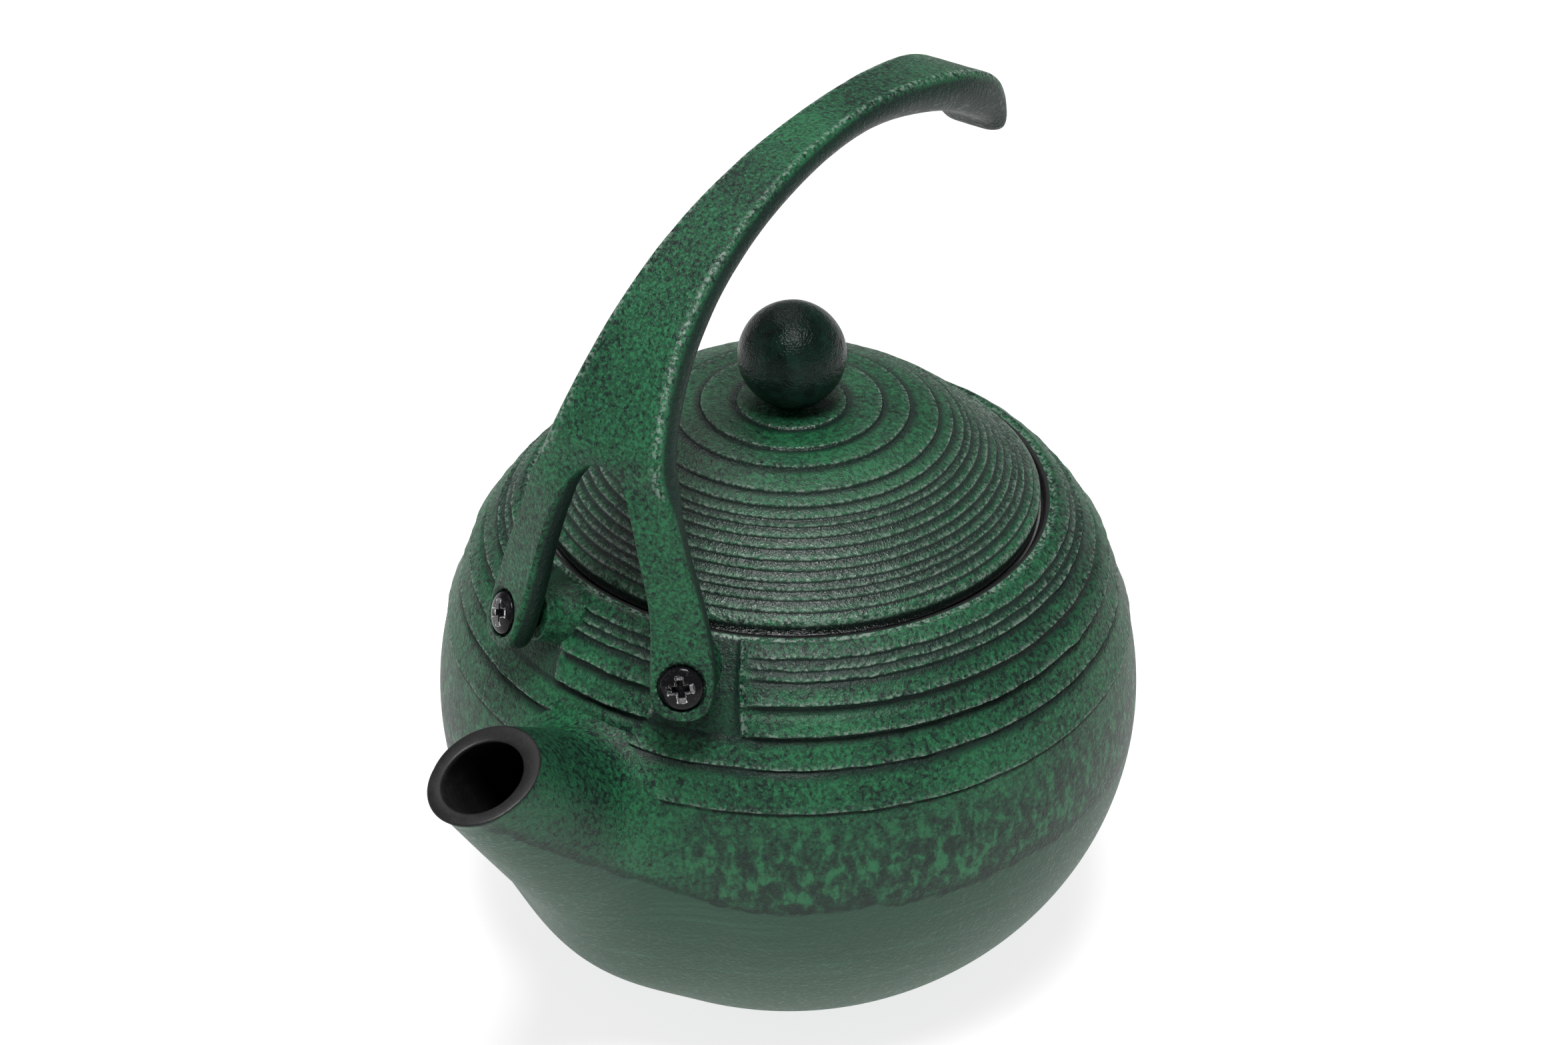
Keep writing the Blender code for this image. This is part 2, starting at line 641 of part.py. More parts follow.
# ---- tea strainer -----------------------------------------------------------------------

def make_strainer_rim(collection, finish):
    inside = SLEEVE_COLLAR_RADIUS - STEEL
    foot = FLANGE_BOTTOM - RIM_COLLAR_DEPTH
    outline = [(inside, FLANGE_TOP), (FLANGE_RADIUS, FLANGE_TOP), (FLANGE_RADIUS, FLANGE_BOTTOM),
               (SLEEVE_COLLAR_RADIUS, FLANGE_BOTTOM), (SLEEVE_COLLAR_RADIUS, foot), (inside, foot)]
    return turned("strainer_rim", outline, 48, collection, finish, ring=True)


def make_strainer_wall(collection, finish):
    outline = [(SLEEVE_RADIUS - STEEL, SLEEVE_TOP), (SLEEVE_RADIUS, SLEEVE_TOP),
               (SLEEVE_FOOT_RADIUS, SLEEVE_BOTTOM), (SLEEVE_FOOT_RADIUS - STEEL, SLEEVE_BOTTOM)]
    return turned("strainer_wall", outline, 48, collection, finish, ring=True)


def band_inside():
    """Inner radius of the foot band, clear of the sleeve where the sleeve is widest within it."""
    return SLEEVE_FOOT_RADIUS + STRAINER_TAPER * BAND_HEIGHT / STRAINER_DEPTH + TOUCH_GAP


def make_strainer_band(collection, finish):
    inside = band_inside()
    top = SLEEVE_BOTTOM + BAND_HEIGHT
    lip_top = SLEEVE_BOTTOM - TOUCH_GAP - STEEL - TOUCH_GAP
    lip_inside = SLEEVE_FOOT_RADIUS - BAND_LIP
    outline = [(inside, top), (inside + STEEL, top), (inside + STEEL, lip_top - STEEL),
               (lip_inside, lip_top - STEEL), (lip_inside, lip_top), (inside, lip_top)]
    return turned("strainer_band", outline, 48, collection, finish, ring=True)


def make_strainer_floor(collection, finish):
    top = SLEEVE_BOTTOM - TOUCH_GAP
    radius = band_inside() - TOUCH_GAP
    outline = [(0.0, top), (radius, top), (radius, top - STEEL), (0.0, top - STEEL)]
    return turned("strainer_floor", outline, 48, collection, finish)


def main():
    clear_scene()
    parts = new_collection(OBJECT_NAME)
    cutters = new_collection(CUTTERS_NAME)
    green_iron = material("green_iron", (0.045, 0.16, 0.085), 0.6, 0.35)
    dark_iron = material("dark_green_iron", (0.012, 0.045, 0.03), 0.45, 0.4)
    black_steel = material("black_steel", (0.01, 0.01, 0.011), 0.3, 0.8)
    plain_steel = material("plain_steel", (0.6, 0.6, 0.6), 0.3, 1.0)

    make_pot(parts, cutters, green_iron)
    make_handle(parts, cutters, green_iron)
    make_screw(-1, "left", parts, cutters, black_steel)
    make_screw(1, "right", parts, cutters, black_steel)
    make_lid(parts, green_iron)
    make_knob(parts, dark_iron)
    make_washer(parts, plain_steel)
    make_nut(parts, cutters, plain_steel)
    make_strainer_rim(parts, plain_steel)
    make_strainer_wall(parts, plain_steel)
    make_strainer_band(parts, plain_steel)
    make_strainer_floor(parts, plain_steel)


main()
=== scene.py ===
"""Cast iron teapot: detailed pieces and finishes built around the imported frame."""
import math

import bmesh
import bpy
import numpy as np
from bpy.props import (FloatProperty, FloatVectorProperty, IntProperty, PointerProperty)
from mathutils import Matrix, Vector, noise


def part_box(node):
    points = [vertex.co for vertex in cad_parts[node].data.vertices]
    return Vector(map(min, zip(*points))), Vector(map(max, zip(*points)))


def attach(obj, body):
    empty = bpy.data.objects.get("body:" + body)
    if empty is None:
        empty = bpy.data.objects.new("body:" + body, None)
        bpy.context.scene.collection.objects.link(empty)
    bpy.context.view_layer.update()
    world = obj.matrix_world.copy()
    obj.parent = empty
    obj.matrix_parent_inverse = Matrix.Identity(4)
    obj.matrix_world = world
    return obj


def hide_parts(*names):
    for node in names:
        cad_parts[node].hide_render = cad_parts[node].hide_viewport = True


bl_info = {
    "name": "Cast Iron Teapot",
    "version": (1, 0, 0),
    "blender": (4, 5, 0),
    "location": "View3D > Sidebar > Teapot",
    "description": "Builds a terraced cast iron teapot with its strainer, lid and forked handle",
    "category": "Object",
}

MM = 0.001
HOLE_GAP = 0.3 * MM         # a screw or a stud to the side of its hole
THREAD_ROOT = 0.84          # a thread's inner radius as a share of its outer one
STUD_PITCH = 0.7 * MM
SLEEVE_TAPER = 3.0 * MM     # how much narrower the strainer's sleeve is at its foot

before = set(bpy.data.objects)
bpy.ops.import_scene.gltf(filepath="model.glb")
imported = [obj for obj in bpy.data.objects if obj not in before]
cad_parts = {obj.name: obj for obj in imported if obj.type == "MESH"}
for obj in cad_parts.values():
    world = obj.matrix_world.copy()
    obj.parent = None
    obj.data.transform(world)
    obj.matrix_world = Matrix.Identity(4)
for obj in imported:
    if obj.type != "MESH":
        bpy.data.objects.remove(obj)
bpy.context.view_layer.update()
POT_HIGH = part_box("pot_body")[1]
LID_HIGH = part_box("lid")[1]
KNOB_LOW, KNOB_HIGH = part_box("lid_knob")
RIM_LOW, RIM_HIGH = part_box("strainer_rim")
SLEEVE_LOW, SLEEVE_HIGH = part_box("strainer_wall")
BAND_LOW, BAND_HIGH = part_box("strainer_band")
FLOOR_LOW, FLOOR_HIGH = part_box("strainer_floor")
WASHER_LOW, WASHER_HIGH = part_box("knob_washer")
NUT_LOW, NUT_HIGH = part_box("knob_nut")
HANDLE_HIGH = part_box("handle")[1]


def length(name, description, default, low=0.0):
    """A size in metres that the user can change."""
    return FloatProperty(name=name, description=description, default=default, min=low,
                         unit="LENGTH", subtype="DISTANCE", precision=4)


def share(name, description, default):
    return FloatProperty(name=name, description=description, default=default, min=0.0, max=1.0,
                         subtype="FACTOR")


def degrees(name, description, default):
    return FloatProperty(name=name, description=description, default=math.radians(default),
                         subtype="ANGLE", unit="ROTATION")


def colour(name, description, default):
    return FloatVectorProperty(name=name, description=description, default=default, size=3,
                               subtype="COLOR", min=0.0, max=1.0)


def count(name, description, default):
    return IntProperty(name=name, description=description, default=default, min=3)


# ---- sizes and colours that a user may change --------------------------------------

class TeapotPotSizes(bpy.types.PropertyGroup):
    """Sizes of the pot's casting."""
    belly_radius: length("Belly radius", "Widest radius of the pot", POT_HIGH.x)
    belly_height: length("Belly height", "Height of the widest radius", 48.0 * MM)
    foot_radius: length("Foot radius", "Radius of the flat foot", 34.0 * MM)
    rim_height: length("Rim height", "Top of the collar above the foot", 88.4 * MM)
    wall: length("Wall", "Thickness of the pot's wall", 3.2 * MM)
    floor: length("Floor", "Thickness of the pot's floor", 4.0 * MM)
    collar_radius: length("Collar radius", "Outer radius of the collar", 45.1 * MM)
    seat_radius: length("Seat radius", "Inside radius of the collar", 43.8 * MM)
    ledge_height: length("Ledge height", "Height of the ledge the strainer hangs on",
                         RIM_LOW.z + 4.7 * MM)
    mouth_radius: length("Mouth radius", "Radius of the opening inside the ledge", 40.4 * MM)
    ring_rise: length("Ring rise", "How far the lower edge of each terrace stands out", 0.62 * MM)
    ring_ripple: length("Ring ripple", "How far a terrace edge wanders up and down", 0.2 * MM)
    slab_rise: length("Slab rise", "How far the upper terraces stand off the belly", 0.75 * MM)


class TeapotSpoutSizes(bpy.types.PropertyGroup):
    """Sizes of the spout, which is cast with the pot."""
    reach: length("Reach", "Mouth centre beyond the belly", 22.1 * MM)
    below_rim: length("Below rim", "Mouth centre below the collar's top", 9.0 * MM)
    root_height: length("Root height", "Height of the spout's root", 34.5 * MM)
    root_radius: length("Root radius", "Outer radius at the root", 20.3 * MM)
    neck_radius: length("Neck radius", "Sets how fast the spout tapers", 13.5 * MM)
    mouth_radius: length("Mouth radius", "Outer radius at the mouth", 8.3 * MM)
    bore_radius: length("Bore radius", "Inner radius at the mouth", 6.1 * MM)
    root_bore: length("Root bore", "Inner radius at the root", 9.0 * MM)
    rise_angle: degrees("Rise angle", "Direction of the spout at its mouth", 46.0)
    mouth_tilt: degrees("Mouth tilt", "How steeply the mouth faces up", 72.0)
    bend: share("Bend", "Where it bends, from the mouth back", 0.42)
    fillet: length("Fillet", "Softness of the join with the belly", 8.0 * MM)


class TeapotHandleSizes(bpy.types.PropertyGroup):
    """Sizes of the forked handle and of the lugs it is screwed to."""
    top_height: length("Top height", "Highest point of the arch", HANDLE_HIGH.z)
    screw_below_rim: length("Screw below rim", "Screw heads below the collar's top", 1.1 * MM)
    screw_spread: length("Screw spread", "Screw heads from the plane of symmetry", 17.8 * MM)
    screw_splay: degrees("Screw splay", "Screw axes out from the spout's direction", 27.5)
    screw_lift: degrees("Screw lift", "Screw axes above level", 20.0)
    lug_radius: length("Lug radius", "Radius of the lugs on the pot", 4.7 * MM)
    lug_standoff: length("Lug standoff", "Pot wall to the leg's inner face", 5.0 * MM)
    leg_thickness: length("Leg thickness", "Thickness of a leg", 5.6 * MM)
    leg_half_width: length("Leg half width", "Half width of a leg", 4.9 * MM)
    arch_thickness: length("Arch thickness", "Thickness of the arch at its top", 5.0 * MM)
    arch_half_width: length("Arch half width", "Half width of the arch at its top", 5.1 * MM)
    arch_top_back: length("Arch top back", "Highest point behind the pot's axis", 14.7 * MM)
    tail_reach: length("Tail reach", "Free end behind the pot's axis", 58.6 * MM)
    tail_drop: length("Tail drop", "Free end's tip below the highest point", 21.0 * MM)
    tail_half_width: length("Tail half width", "Half width of the tail", 7.4 * MM)
    side_flare: length("Side flare", "How much wider it is behind its outer face", 0.9 * MM)
    back_inset: length("Back inset", "How much narrower its underside is", 1.5 * MM)
    face_inset: length("Face inset", "How much narrower the arch's outer face is", 1.3 * MM)
    crotch_rise: length("Crotch rise", "The fork's crotch above the legs' start", 1.6 * MM)
    touch_gap: length("Touch gap", "Gap between pieces that rest on each other", 0.3 * MM)


class TeapotScrewSizes(bpy.types.PropertyGroup):
    """Sizes of the two cross-recess screws."""
    head_radius: length("Head radius", "Radius of the head", 3.5 * MM)
    head_edge: length("Head edge", "Upright edge of the head", 0.7 * MM)
    head_crown: length("Head crown", "Height of the domed part", 1.0 * MM)
    head_recess: length("Head recess", "Depth of the seat the head lies in", 1.1 * MM)
    head_gap: length("Head gap", "Gap round the head", 0.35 * MM)
    shank_radius: length("Shank radius", "Radius over the thread", 2.0 * MM)
    bite: length("Bite", "Thread inside the lug", 5.2 * MM)
    pitch: length("Pitch", "Pitch of the thread", 0.7 * MM)
    cross_width: length("Cross width", "Width of one wing of the cross recess", 1.15 * MM)
    cross_radius: length("Cross radius", "Reach of the cross recess", 2.2 * MM)
    cross_depth: length("Cross depth", "Depth of the cross recess", 1.25 * MM)


class TeapotLidSizes(bpy.types.PropertyGroup):
    """Sizes of the lid and of its knob."""
    radius: length("Radius", "Radius of the lid", LID_HIGH.x)
    seat_height: length("Seat height", "Underside of the lid's edge", 87.4 * MM)
    rim: length("Rim", "Height of the upright edge", 2.6 * MM)
    rise: length("Rise", "Rim to apex", 15.8 * MM)
    shoulder: FloatProperty(name="Shoulder", description="Fullness of the shoulder", default=1.23)
    flare: FloatProperty(name="Flare", description="Flattening near the rim", default=-1.28)
    wall: length("Wall", "Thickness of the dome", 2.8 * MM)
    skirt_radius: length("Skirt radius", "Outer radius of the skirt", 37.7 * MM)
    skirt_wall: length("Skirt wall", "Thickness of the skirt", 2.0 * MM)
    skirt_depth: length("Skirt depth", "Skirt below the lid's seat", 3.2 * MM)
    ring_rise: length("Ring rise", "How far each terrace's edge stands up", 0.5 * MM)
    ring_ripple: length("Ring ripple", "How far a terrace edge wanders", 0.22 * MM)
    knob_radius: length("Knob radius", "Radius of the ball", KNOB_HIGH.x)
    knob_foot: length("Knob foot", "Radius of the knob's foot", 4.6 * MM)
    stud_radius: length("Stud radius", "Radius of the knob's stud", 2.0 * MM)
    steps: count("Steps", "Steps round the lid", 320)


class TeapotStrainerSizes(bpy.types.PropertyGroup):
    """Sizes of the pressed strainer."""
    steel: length("Steel", "Thickness of the sheet", 0.5 * MM)
    pitch: length("Pitch", "Distance between holes", 2.1 * MM)
    open_share: share("Open share", "Hole width as a share of the pitch", 0.56)
    steps: count("Steps", "Steps round the rim", 192)


class TeapotColours(bpy.types.PropertyGroup):
    """Colours of the finishes."""
    bright_green: colour("Bright green", "Where the patina is rubbed", (0.020, 0.152, 0.062))
    main_green: colour("Main green", "Most of the casting", (0.011, 0.070, 0.032))
    # dark green also serves as the painted shade in grooves, recesses and on the handle's side faces
    dark_green: colour("Dark green", "Hollows and mottling", (0.004, 0.016, 0.012))
    grey_green: colour("Grey green", "Smooth lower part", (0.022, 0.071, 0.042))
    # pale colour of the lips: partly worn paint, partly a painted highlight
    rubbed_edge: colour("Rubbed edge", "Worn lips of the terraces", (0.230, 0.310, 0.260))
    knob_green: colour("Knob green", "The knob", (0.003, 0.016, 0.0105))
    enamel: colour("Enamel", "Inside of the pot and the lips", (0.012, 0.012, 0.013))
    steel: colour("Steel", "Strainer, nut and washer", (0.58, 0.585, 0.58))
    screw_black: colour("Screw black", "Screw heads", (0.006, 0.006, 0.007))
    floor: colour("Floor", "The floor", (0.45, 0.45, 0.45))


class TeapotStage(bpy.types.PropertyGroup):
    """The camera."""
    lens: FloatProperty(name="Lens", description="Focal length in millimetres", default=66.8)
    camera_place: FloatVectorProperty(name="Camera place", description="Where the camera stands",
                                      default=(0.23544, -0.35039, 0.3601), subtype="TRANSLATION")
    heading: degrees("Heading", "Camera turned about the vertical", 34.04)
    downward: degrees("Downward", "Camera tilted below level", 33.4645)
    roll: degrees("Roll", "Camera rolled about its own axis", 0.595)


class TeapotSettings(bpy.types.PropertyGroup):
    """Everything that the panel shows."""
    pot: PointerProperty(type=TeapotPotSizes)
    spout: PointerProperty(type=TeapotSpoutSizes)
    handle: PointerProperty(type=TeapotHandleSizes)
    screws: PointerProperty(type=TeapotScrewSizes)
    lid: PointerProperty(type=TeapotLidSizes)
    strainer: PointerProperty(type=TeapotStrainerSizes)
    colours: PointerProperty(type=TeapotColours)
    stage: PointerProperty(type=TeapotStage)


def settings():
    return bpy.context.scene.teapot


# ---- small helpers ------------------------------------------------------------------

def spaced(first, last, number):
    return [first + (last - first) * i / (number - 1) for i in range(number)]


def smoothstep(low, high, value):
    t = np.clip((value - low) / (high - low), 0.0, 1.0)
    return t * t * (3 - 2 * t)


def link(obj):
    bpy.context.scene.collection.objects.link(obj)
    return obj


def store(mesh, name, values):
    layer = mesh.attributes.new(name, "FLOAT", "POINT")
    layer.data.foreach_set("value", np.asarray(values, np.float32))


def mesh_object(name, points, faces, finishes, indices=None, marks=None):
    """A mesh object at the origin, with its vertex marks stored as attributes."""
    mesh = bpy.data.meshes.new(name)
    mesh.from_pydata([tuple(p) for p in points], [], faces)
    for finish in finishes:
        mesh.materials.append(finish)
    if indices is not None:
        mesh.polygons.foreach_set("material_index", indices)
    for mark, values in (marks or {}).items():
        store(mesh, mark, values)
    mesh.validate()
    mesh.shade_smooth()
    return link(bpy.data.objects.new(name, mesh))


def outward(obj):
    """Turns every face of a closed mesh outwards."""
    work = bmesh.new()
    work.from_mesh(obj.data)
    bmesh.ops.recalc_face_normals(work, faces=work.faces)
    work.to_mesh(obj.data)
    work.free()


def edged(obj, angle):
    """Shades a piece smooth, with sharp edges above an angle in degrees."""
    obj.data.shade_smooth()
    obj.data.set_sharp_from_angle(angle=math.radians(angle))
    return obj


def vectors(mesh, what="co"):
    """The places or the normals of a mesh's points as rows."""
    values = np.empty(len(mesh.vertices) * 3)
    mesh.vertices.foreach_get(what, values)
    return values.reshape(-1, 3)


def cut(obj, tool, own_overlap=False):
    """Cuts a tool's shape away from a piece."""
    step = obj.modifiers.new("cut", "BOOLEAN")
    step.operation = "DIFFERENCE"
    step.solver = "EXACT"
    step.use_self = own_overlap
    step.object = tool


def baked(obj, name):
    """The evaluated object as a plain mesh object in its place."""
    graph = bpy.context.evaluated_depsgraph_get()
    mesh = bpy.data.meshes.new_from_object(obj.evaluated_get(graph), depsgraph=graph)
    mesh.name = name
    made = link(bpy.data.objects.new(name, mesh))
    bpy.data.objects.remove(obj)
    made.name = name
    return made


def keep(piece, body, slot, *nodes):
    """Makes a finished piece ride on its body and stand for its CAD nodes."""
    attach(piece, body)
    if nodes:
        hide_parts(*nodes)


def noise_along(points, scale, seed):
    """Smooth noise from -1 to 1 at each point."""
    shift = Vector((seed * 7.31, seed * 3.17, seed * 5.93))
    return np.array([noise.noise(Vector(p) * scale + shift) for p in points])


# ---- node helpers -------------------------------------------------------------------

def feed(tree, made, inputs):
    """Sets a node's inputs, by name or number, to values or from output sockets."""
    for key, value in inputs.items():
        if isinstance(value, bpy.types.NodeSocket):
            tree.links.new(value, made.inputs[key])
        else:
            made.inputs[key].default_value = value
    return made


def node(tree, kind, inputs=None, **values):
    """Adds a node with its settings and its inputs."""
    made = tree.nodes.new(kind)
    for name, value in values.items():
        setattr(made, name, value)
    return feed(tree, made, inputs or {})


def maths(tree, operation, first, second=0.5, third=None):
    inputs = {0: first, 1: second}
    if third is not None:
        inputs[2] = third
    return node(tree, "ShaderNodeMath", inputs, operation=operation).outputs[0]


def stretched(tree, place, scale):
    """A place with each axis scaled on its own."""
    return node(tree, "ShaderNodeVectorMath", {0: place, 1: scale}, operation="MULTIPLY").outputs[0]


def speckle(tree, place, scale, detail=2.0, roughness=0.5, distortion=0.0):
    """Noise from 0 to 1."""
    return node(tree, "ShaderNodeTexNoise", {
        "Vector": place, "Scale": scale, "Detail": detail, "Roughness": roughness,
        "Distortion": distortion}).outputs[0]


def between(tree, value, low, high):
    """Spreads a value from 0 to 1 between two others."""
    return node(tree, "ShaderNodeMapRange", {0: value, 3: low, 4: high}).outputs[0]


def mixed(tree, factor, first, second):
    """Mixes two numbers."""
    return node(tree, "ShaderNodeMix", {0: factor, 2: first, 3: second}, data_type="FLOAT").outputs[0]


def ramp(tree, value, low, high, to_low=0.0, to_high=1.0):
    """Smooth step of a value between two limits."""
    made = node(tree, "ShaderNodeMapRange", {0: value, 1: low, 2: high, 3: to_low, 4: to_high},
                interpolation_type="SMOOTHSTEP")
    return made.outputs[0]


def blend(tree, factor, first, second):
    """Mixes two colours."""
    made = node(tree, "ShaderNodeMix", {0: factor, 6: first, 7: second}, data_type="RGBA")
    return made.outputs[2]


def socket(tree, name, kind, way="INPUT", default=None):
    made = tree.interface.new_socket(name, in_out=way, socket_type="NodeSocket" + kind)
    if default is not None:
        made.default_value = default
    return made


def group(kind, name, inputs, outputs):
    """A new node group with named inputs and outputs. Returns it with its two end nodes."""
    tree = bpy.data.node_groups.new(name, kind)
    for title, socket_kind, default in inputs:
        socket(tree, title, socket_kind, "INPUT", default)
    for title, socket_kind in outputs:
        socket(tree, title, socket_kind, "OUTPUT")
    return tree, tree.nodes.new("NodeGroupInput"), tree.nodes.new("NodeGroupOutput")


def grouped(tree, inner, inputs):
    return node(tree, "ShaderNodeGroup", inputs, node_tree=inner)


def rgba(values):
    return (*values, 1.0)


# ---- shared shader groups -----------------------------------------------------------

def cast_grain_group():
    """Sand-cast surface: a height made of pebbles, grit and slow unevenness, and a speck mask."""
    tree, start, end = group("ShaderNodeTree", "Cast grain", [
        ("Vector", "Vector", None), ("Pebble scale", "Float", 900.0), ("Grit scale", "Float", 3200.0),
        ("Grit share", "Float", 0.35)], [("Height", "Float"), ("Speck", "Float")])
    given = start.outputs
    pebble = speckle(tree, given["Vector"], given["Pebble scale"], 2.0, 0.55)
    grit = speckle(tree, given["Vector"], given["Grit scale"], 1.0)
    slow = speckle(tree, given["Vector"], 140.0)
    fine = mixed(tree, given["Grit share"], pebble, grit)
    feed(tree, end, {"Height": maths(tree, "MULTIPLY_ADD", slow, 0.9, fine),
                     "Speck": ramp(tree, fine, 0.52, 0.66)})
    return tree


def mottle_group():
    """Three greens dabbed over each other, with painted shade where the painted shade mark is set
    (grooves, recesses, the handle's side faces) and lips paler with worn paint and a painted highlight.
    """
    tree, start, end = group("ShaderNodeTree", "Dabbed patina", [
        ("Vector", "Vector", None), ("Bright", "Color", rgba((0.04, 0.2, 0.1))),
        ("Main", "Color", rgba((0.02, 0.12, 0.06))), ("Dark", "Color", rgba((0.005, 0.02, 0.015))),
        ("Rubbed and highlit", "Color", rgba((0.15, 0.22, 0.18))), ("Dab scale", "Float", 600.0),
        ("Dab share", "Float", 0.5), ("Painted shade", "Float", 0.0), ("Lip", "Float", 0.0)],
        [("Color", "Color"), ("Gloss", "Float")])
    given = start.outputs
    place, dark, groove = given["Vector"], given["Dark"], given["Painted shade"]
    dabs = speckle(tree, place, given["Dab scale"], 3.0, 0.62, 0.4)
    clouds = speckle(tree, place, 55.0)
    lifted = maths(tree, "MULTIPLY_ADD", clouds, 0.35, dabs)
    level = maths(tree, "MULTIPLY_ADD", given["Dab share"], -0.4, 0.86)
    light = ramp(tree, lifted, maths(tree, "SUBTRACT", level, 0.09), maths(tree, "ADD", level, 0.09))
    paint = blend(tree, light, dark, given["Main"])
    top = speckle(tree, place, maths(tree, "MULTIPLY", given["Dab scale"], 1.25), 2.0, 0.6)
    bright = ramp(tree, maths(tree, "MULTIPLY_ADD", clouds, 0.3, top), 0.6, 0.8)
    paint = blend(tree, maths(tree, "MULTIPLY", bright, light), paint, given["Bright"])
    ragged = maths(tree, "MULTIPLY_ADD", maths(tree, "SUBTRACT", top, 0.5), 0.9, groove)
    # painted shade: the dark green laid in the grooves and on shaded faces, broken up by the dab noise
    hollow = maths(tree, "MULTIPLY", ramp(tree, ragged, 0.12, 0.8), ramp(tree, groove, 0.0, 0.15))
    paint = blend(tree, maths(tree, "MULTIPLY", hollow, 0.92), paint, dark)
    # painted highlight, partly worn paint: speckled pale colour and lower roughness on the marked lips
    wear_and_glint = ramp(tree, speckle(tree, place, 1500.0), 0.45, 0.62)
    rub_and_highlight = maths(tree, "MULTIPLY", given["Lip"], wear_and_glint)
    paint = blend(tree, maths(tree, "MULTIPLY", rub_and_highlight, 0.8), paint, given["Rubbed and highlit"])
    feed(tree, end, {"Color": paint, "Gloss": rub_and_highlight})
    return tree


def steel_finish_group():
    """Fine drawn lines and a little stain on bright steel."""
    tree, start, end = group("ShaderNodeTree", "Drawn steel", [
        ("Vector", "Vector", None), ("Line scale", "Float", 2400.0)],
        [("Height", "Float"), ("Roughness", "Float"), ("Stain", "Float")])
    place = start.outputs["Vector"]
    lines = speckle(tree, stretched(tree, place, (0.05, 0.05, 1.0)), start.outputs["Line scale"])
    stain = speckle(tree, place, 90.0, 4.0)
    rough = maths(tree, "MULTIPLY_ADD", stain, 0.16, 0.14)
    feed(tree, end, {"Height": lines, "Roughness": maths(tree, "MULTIPLY_ADD", lines, 0.08, rough),
                     "Stain": ramp(tree, stain, 0.45, 0.7)})
    return tree


# ---- finishes --------------------------------------------------------------------------

def new_finish(name):
    """A new material. Returns its tree, its shader and the place on the piece."""
    made = bpy.data.materials.new(name)
    made.use_nodes = True
    tree = made.node_tree
    return tree, tree.nodes["Principled BSDF"], tree.nodes.new("ShaderNodeTexCoord").outputs["Object"]


def mark(tree, name):
    return node(tree, "ShaderNodeAttribute", attribute_name=name).outputs["Fac"]


def bumped(tree, height, distance):
    return node(tree, "ShaderNodeBump", {"Height": height, "Distance": distance,
                                         "Strength": 1.0}).outputs[0]


def scaled(colour_values, share_of):
    return rgba([value * share_of for value in colour_values])


def green_finish(name, grain, patina, hues, pebble, dabs, depth, rough, shine):
    """Green patina over cast iron, with painted shade in marked grooves and a painted highlight, with worn
    paint, on marked lips.

    dabs is (scale, share), depth the bump's depth, rough the roughness in pits and on pebbles.
    """
    tree, shader, place = new_finish(name)
    surface = grouped(tree, grain, {"Vector": place, "Pebble scale": pebble}).outputs
    paint = grouped(tree, patina, {
        "Vector": place, "Bright": rgba(hues[0]), "Main": rgba(hues[1]), "Dark": rgba(hues[2]),
        "Rubbed and highlit": rgba(hues[3]), "Dab scale": dabs[0], "Dab share": dabs[1],
        "Painted shade": mark(tree, "groove"), "Lip": mark(tree, "lip")}).outputs
    gloss = between(tree, surface["Speck"], *rough)
    feed(tree, shader, {
        "Base Color": paint["Color"], "Specular IOR Level": shine,
        "Roughness": maths(tree, "MULTIPLY_ADD", paint["Gloss"], -0.16, gloss),
        "Normal": bumped(tree, surface["Height"], depth)})
    return tree, shader, place, paint["Color"]


def pot_finish(hues, greens, grain, patina):
    """The green patina above, sponge dabs below it, and a smooth grey green foot."""
    tree, shader, place, skin = green_finish("pot_green", grain, patina, greens, 1300.0,
                                             (1150.0, 0.62), 0.27 * MM, (0.5, 0.32), 0.32)
    dark = rgba(hues.dark_green)
    above = mark(tree, "glaze")
    level = above
    for scale, amount in ((48.0, 0.5), (330.0, 0.2)):
        swing = maths(tree, "SUBTRACT", speckle(tree, place, scale), 0.5)
        level = maths(tree, "MULTIPLY_ADD", swing, amount, level)
    upper = ramp(tree, level, -0.03, 0.04)
    dabs = speckle(tree, stretched(tree, place, (1.0, 1.0, 0.72)), 500.0, 4.0, 0.66, 0.25)
    depth = node(tree, "ShaderNodeSeparateXYZ", {0: place}).outputs[1]
    off_spout = ramp(tree, depth, -66 * MM, -54 * MM)
    band = maths(tree, "MULTIPLY", ramp(tree, above, 2.3, 1.0),
                 maths(tree, "MULTIPLY", off_spout, 0.85))
    greener = blend(tree, ramp(tree, dabs, 0.52, 0.62), rgba(hues.main_green),
                    rgba(hues.bright_green))
    sponged = blend(tree, ramp(tree, dabs, 0.41, 0.56), dark, greener)
    skin = blend(tree, band, skin, sponged)
    skin = blend(tree, maths(tree, "MULTIPLY", ramp(tree, level, 0.3, 0.02), 0.75), skin, dark)
    brushed = speckle(tree, stretched(tree, place, (0.06, 0.06, 1.0)), 900.0)
    smooth_green = blend(tree, ramp(tree, brushed, 0.5, 0.75), rgba(hues.grey_green),
                         scaled(hues.grey_green, 1.3))
    feed(tree, shader, {"Base Color": blend(tree, upper, smooth_green, skin)})


def enamel_finish(hues, grain):
    tree, shader, place = new_finish("black_enamel")
    surface = grouped(tree, grain, {"Vector": place, "Pebble scale": 700.0}).outputs
    dust = ramp(tree, surface["Height"], 0.8, 1.4)
    feed(tree, shader, {
        "Base Color": blend(tree, dust, rgba(hues.enamel), scaled(hues.enamel, 2.0)),
        "Roughness": between(tree, surface["Speck"], 0.42, 0.55), "Specular IOR Level": 0.3,
        "Normal": bumped(tree, surface["Height"], 0.05 * MM)})


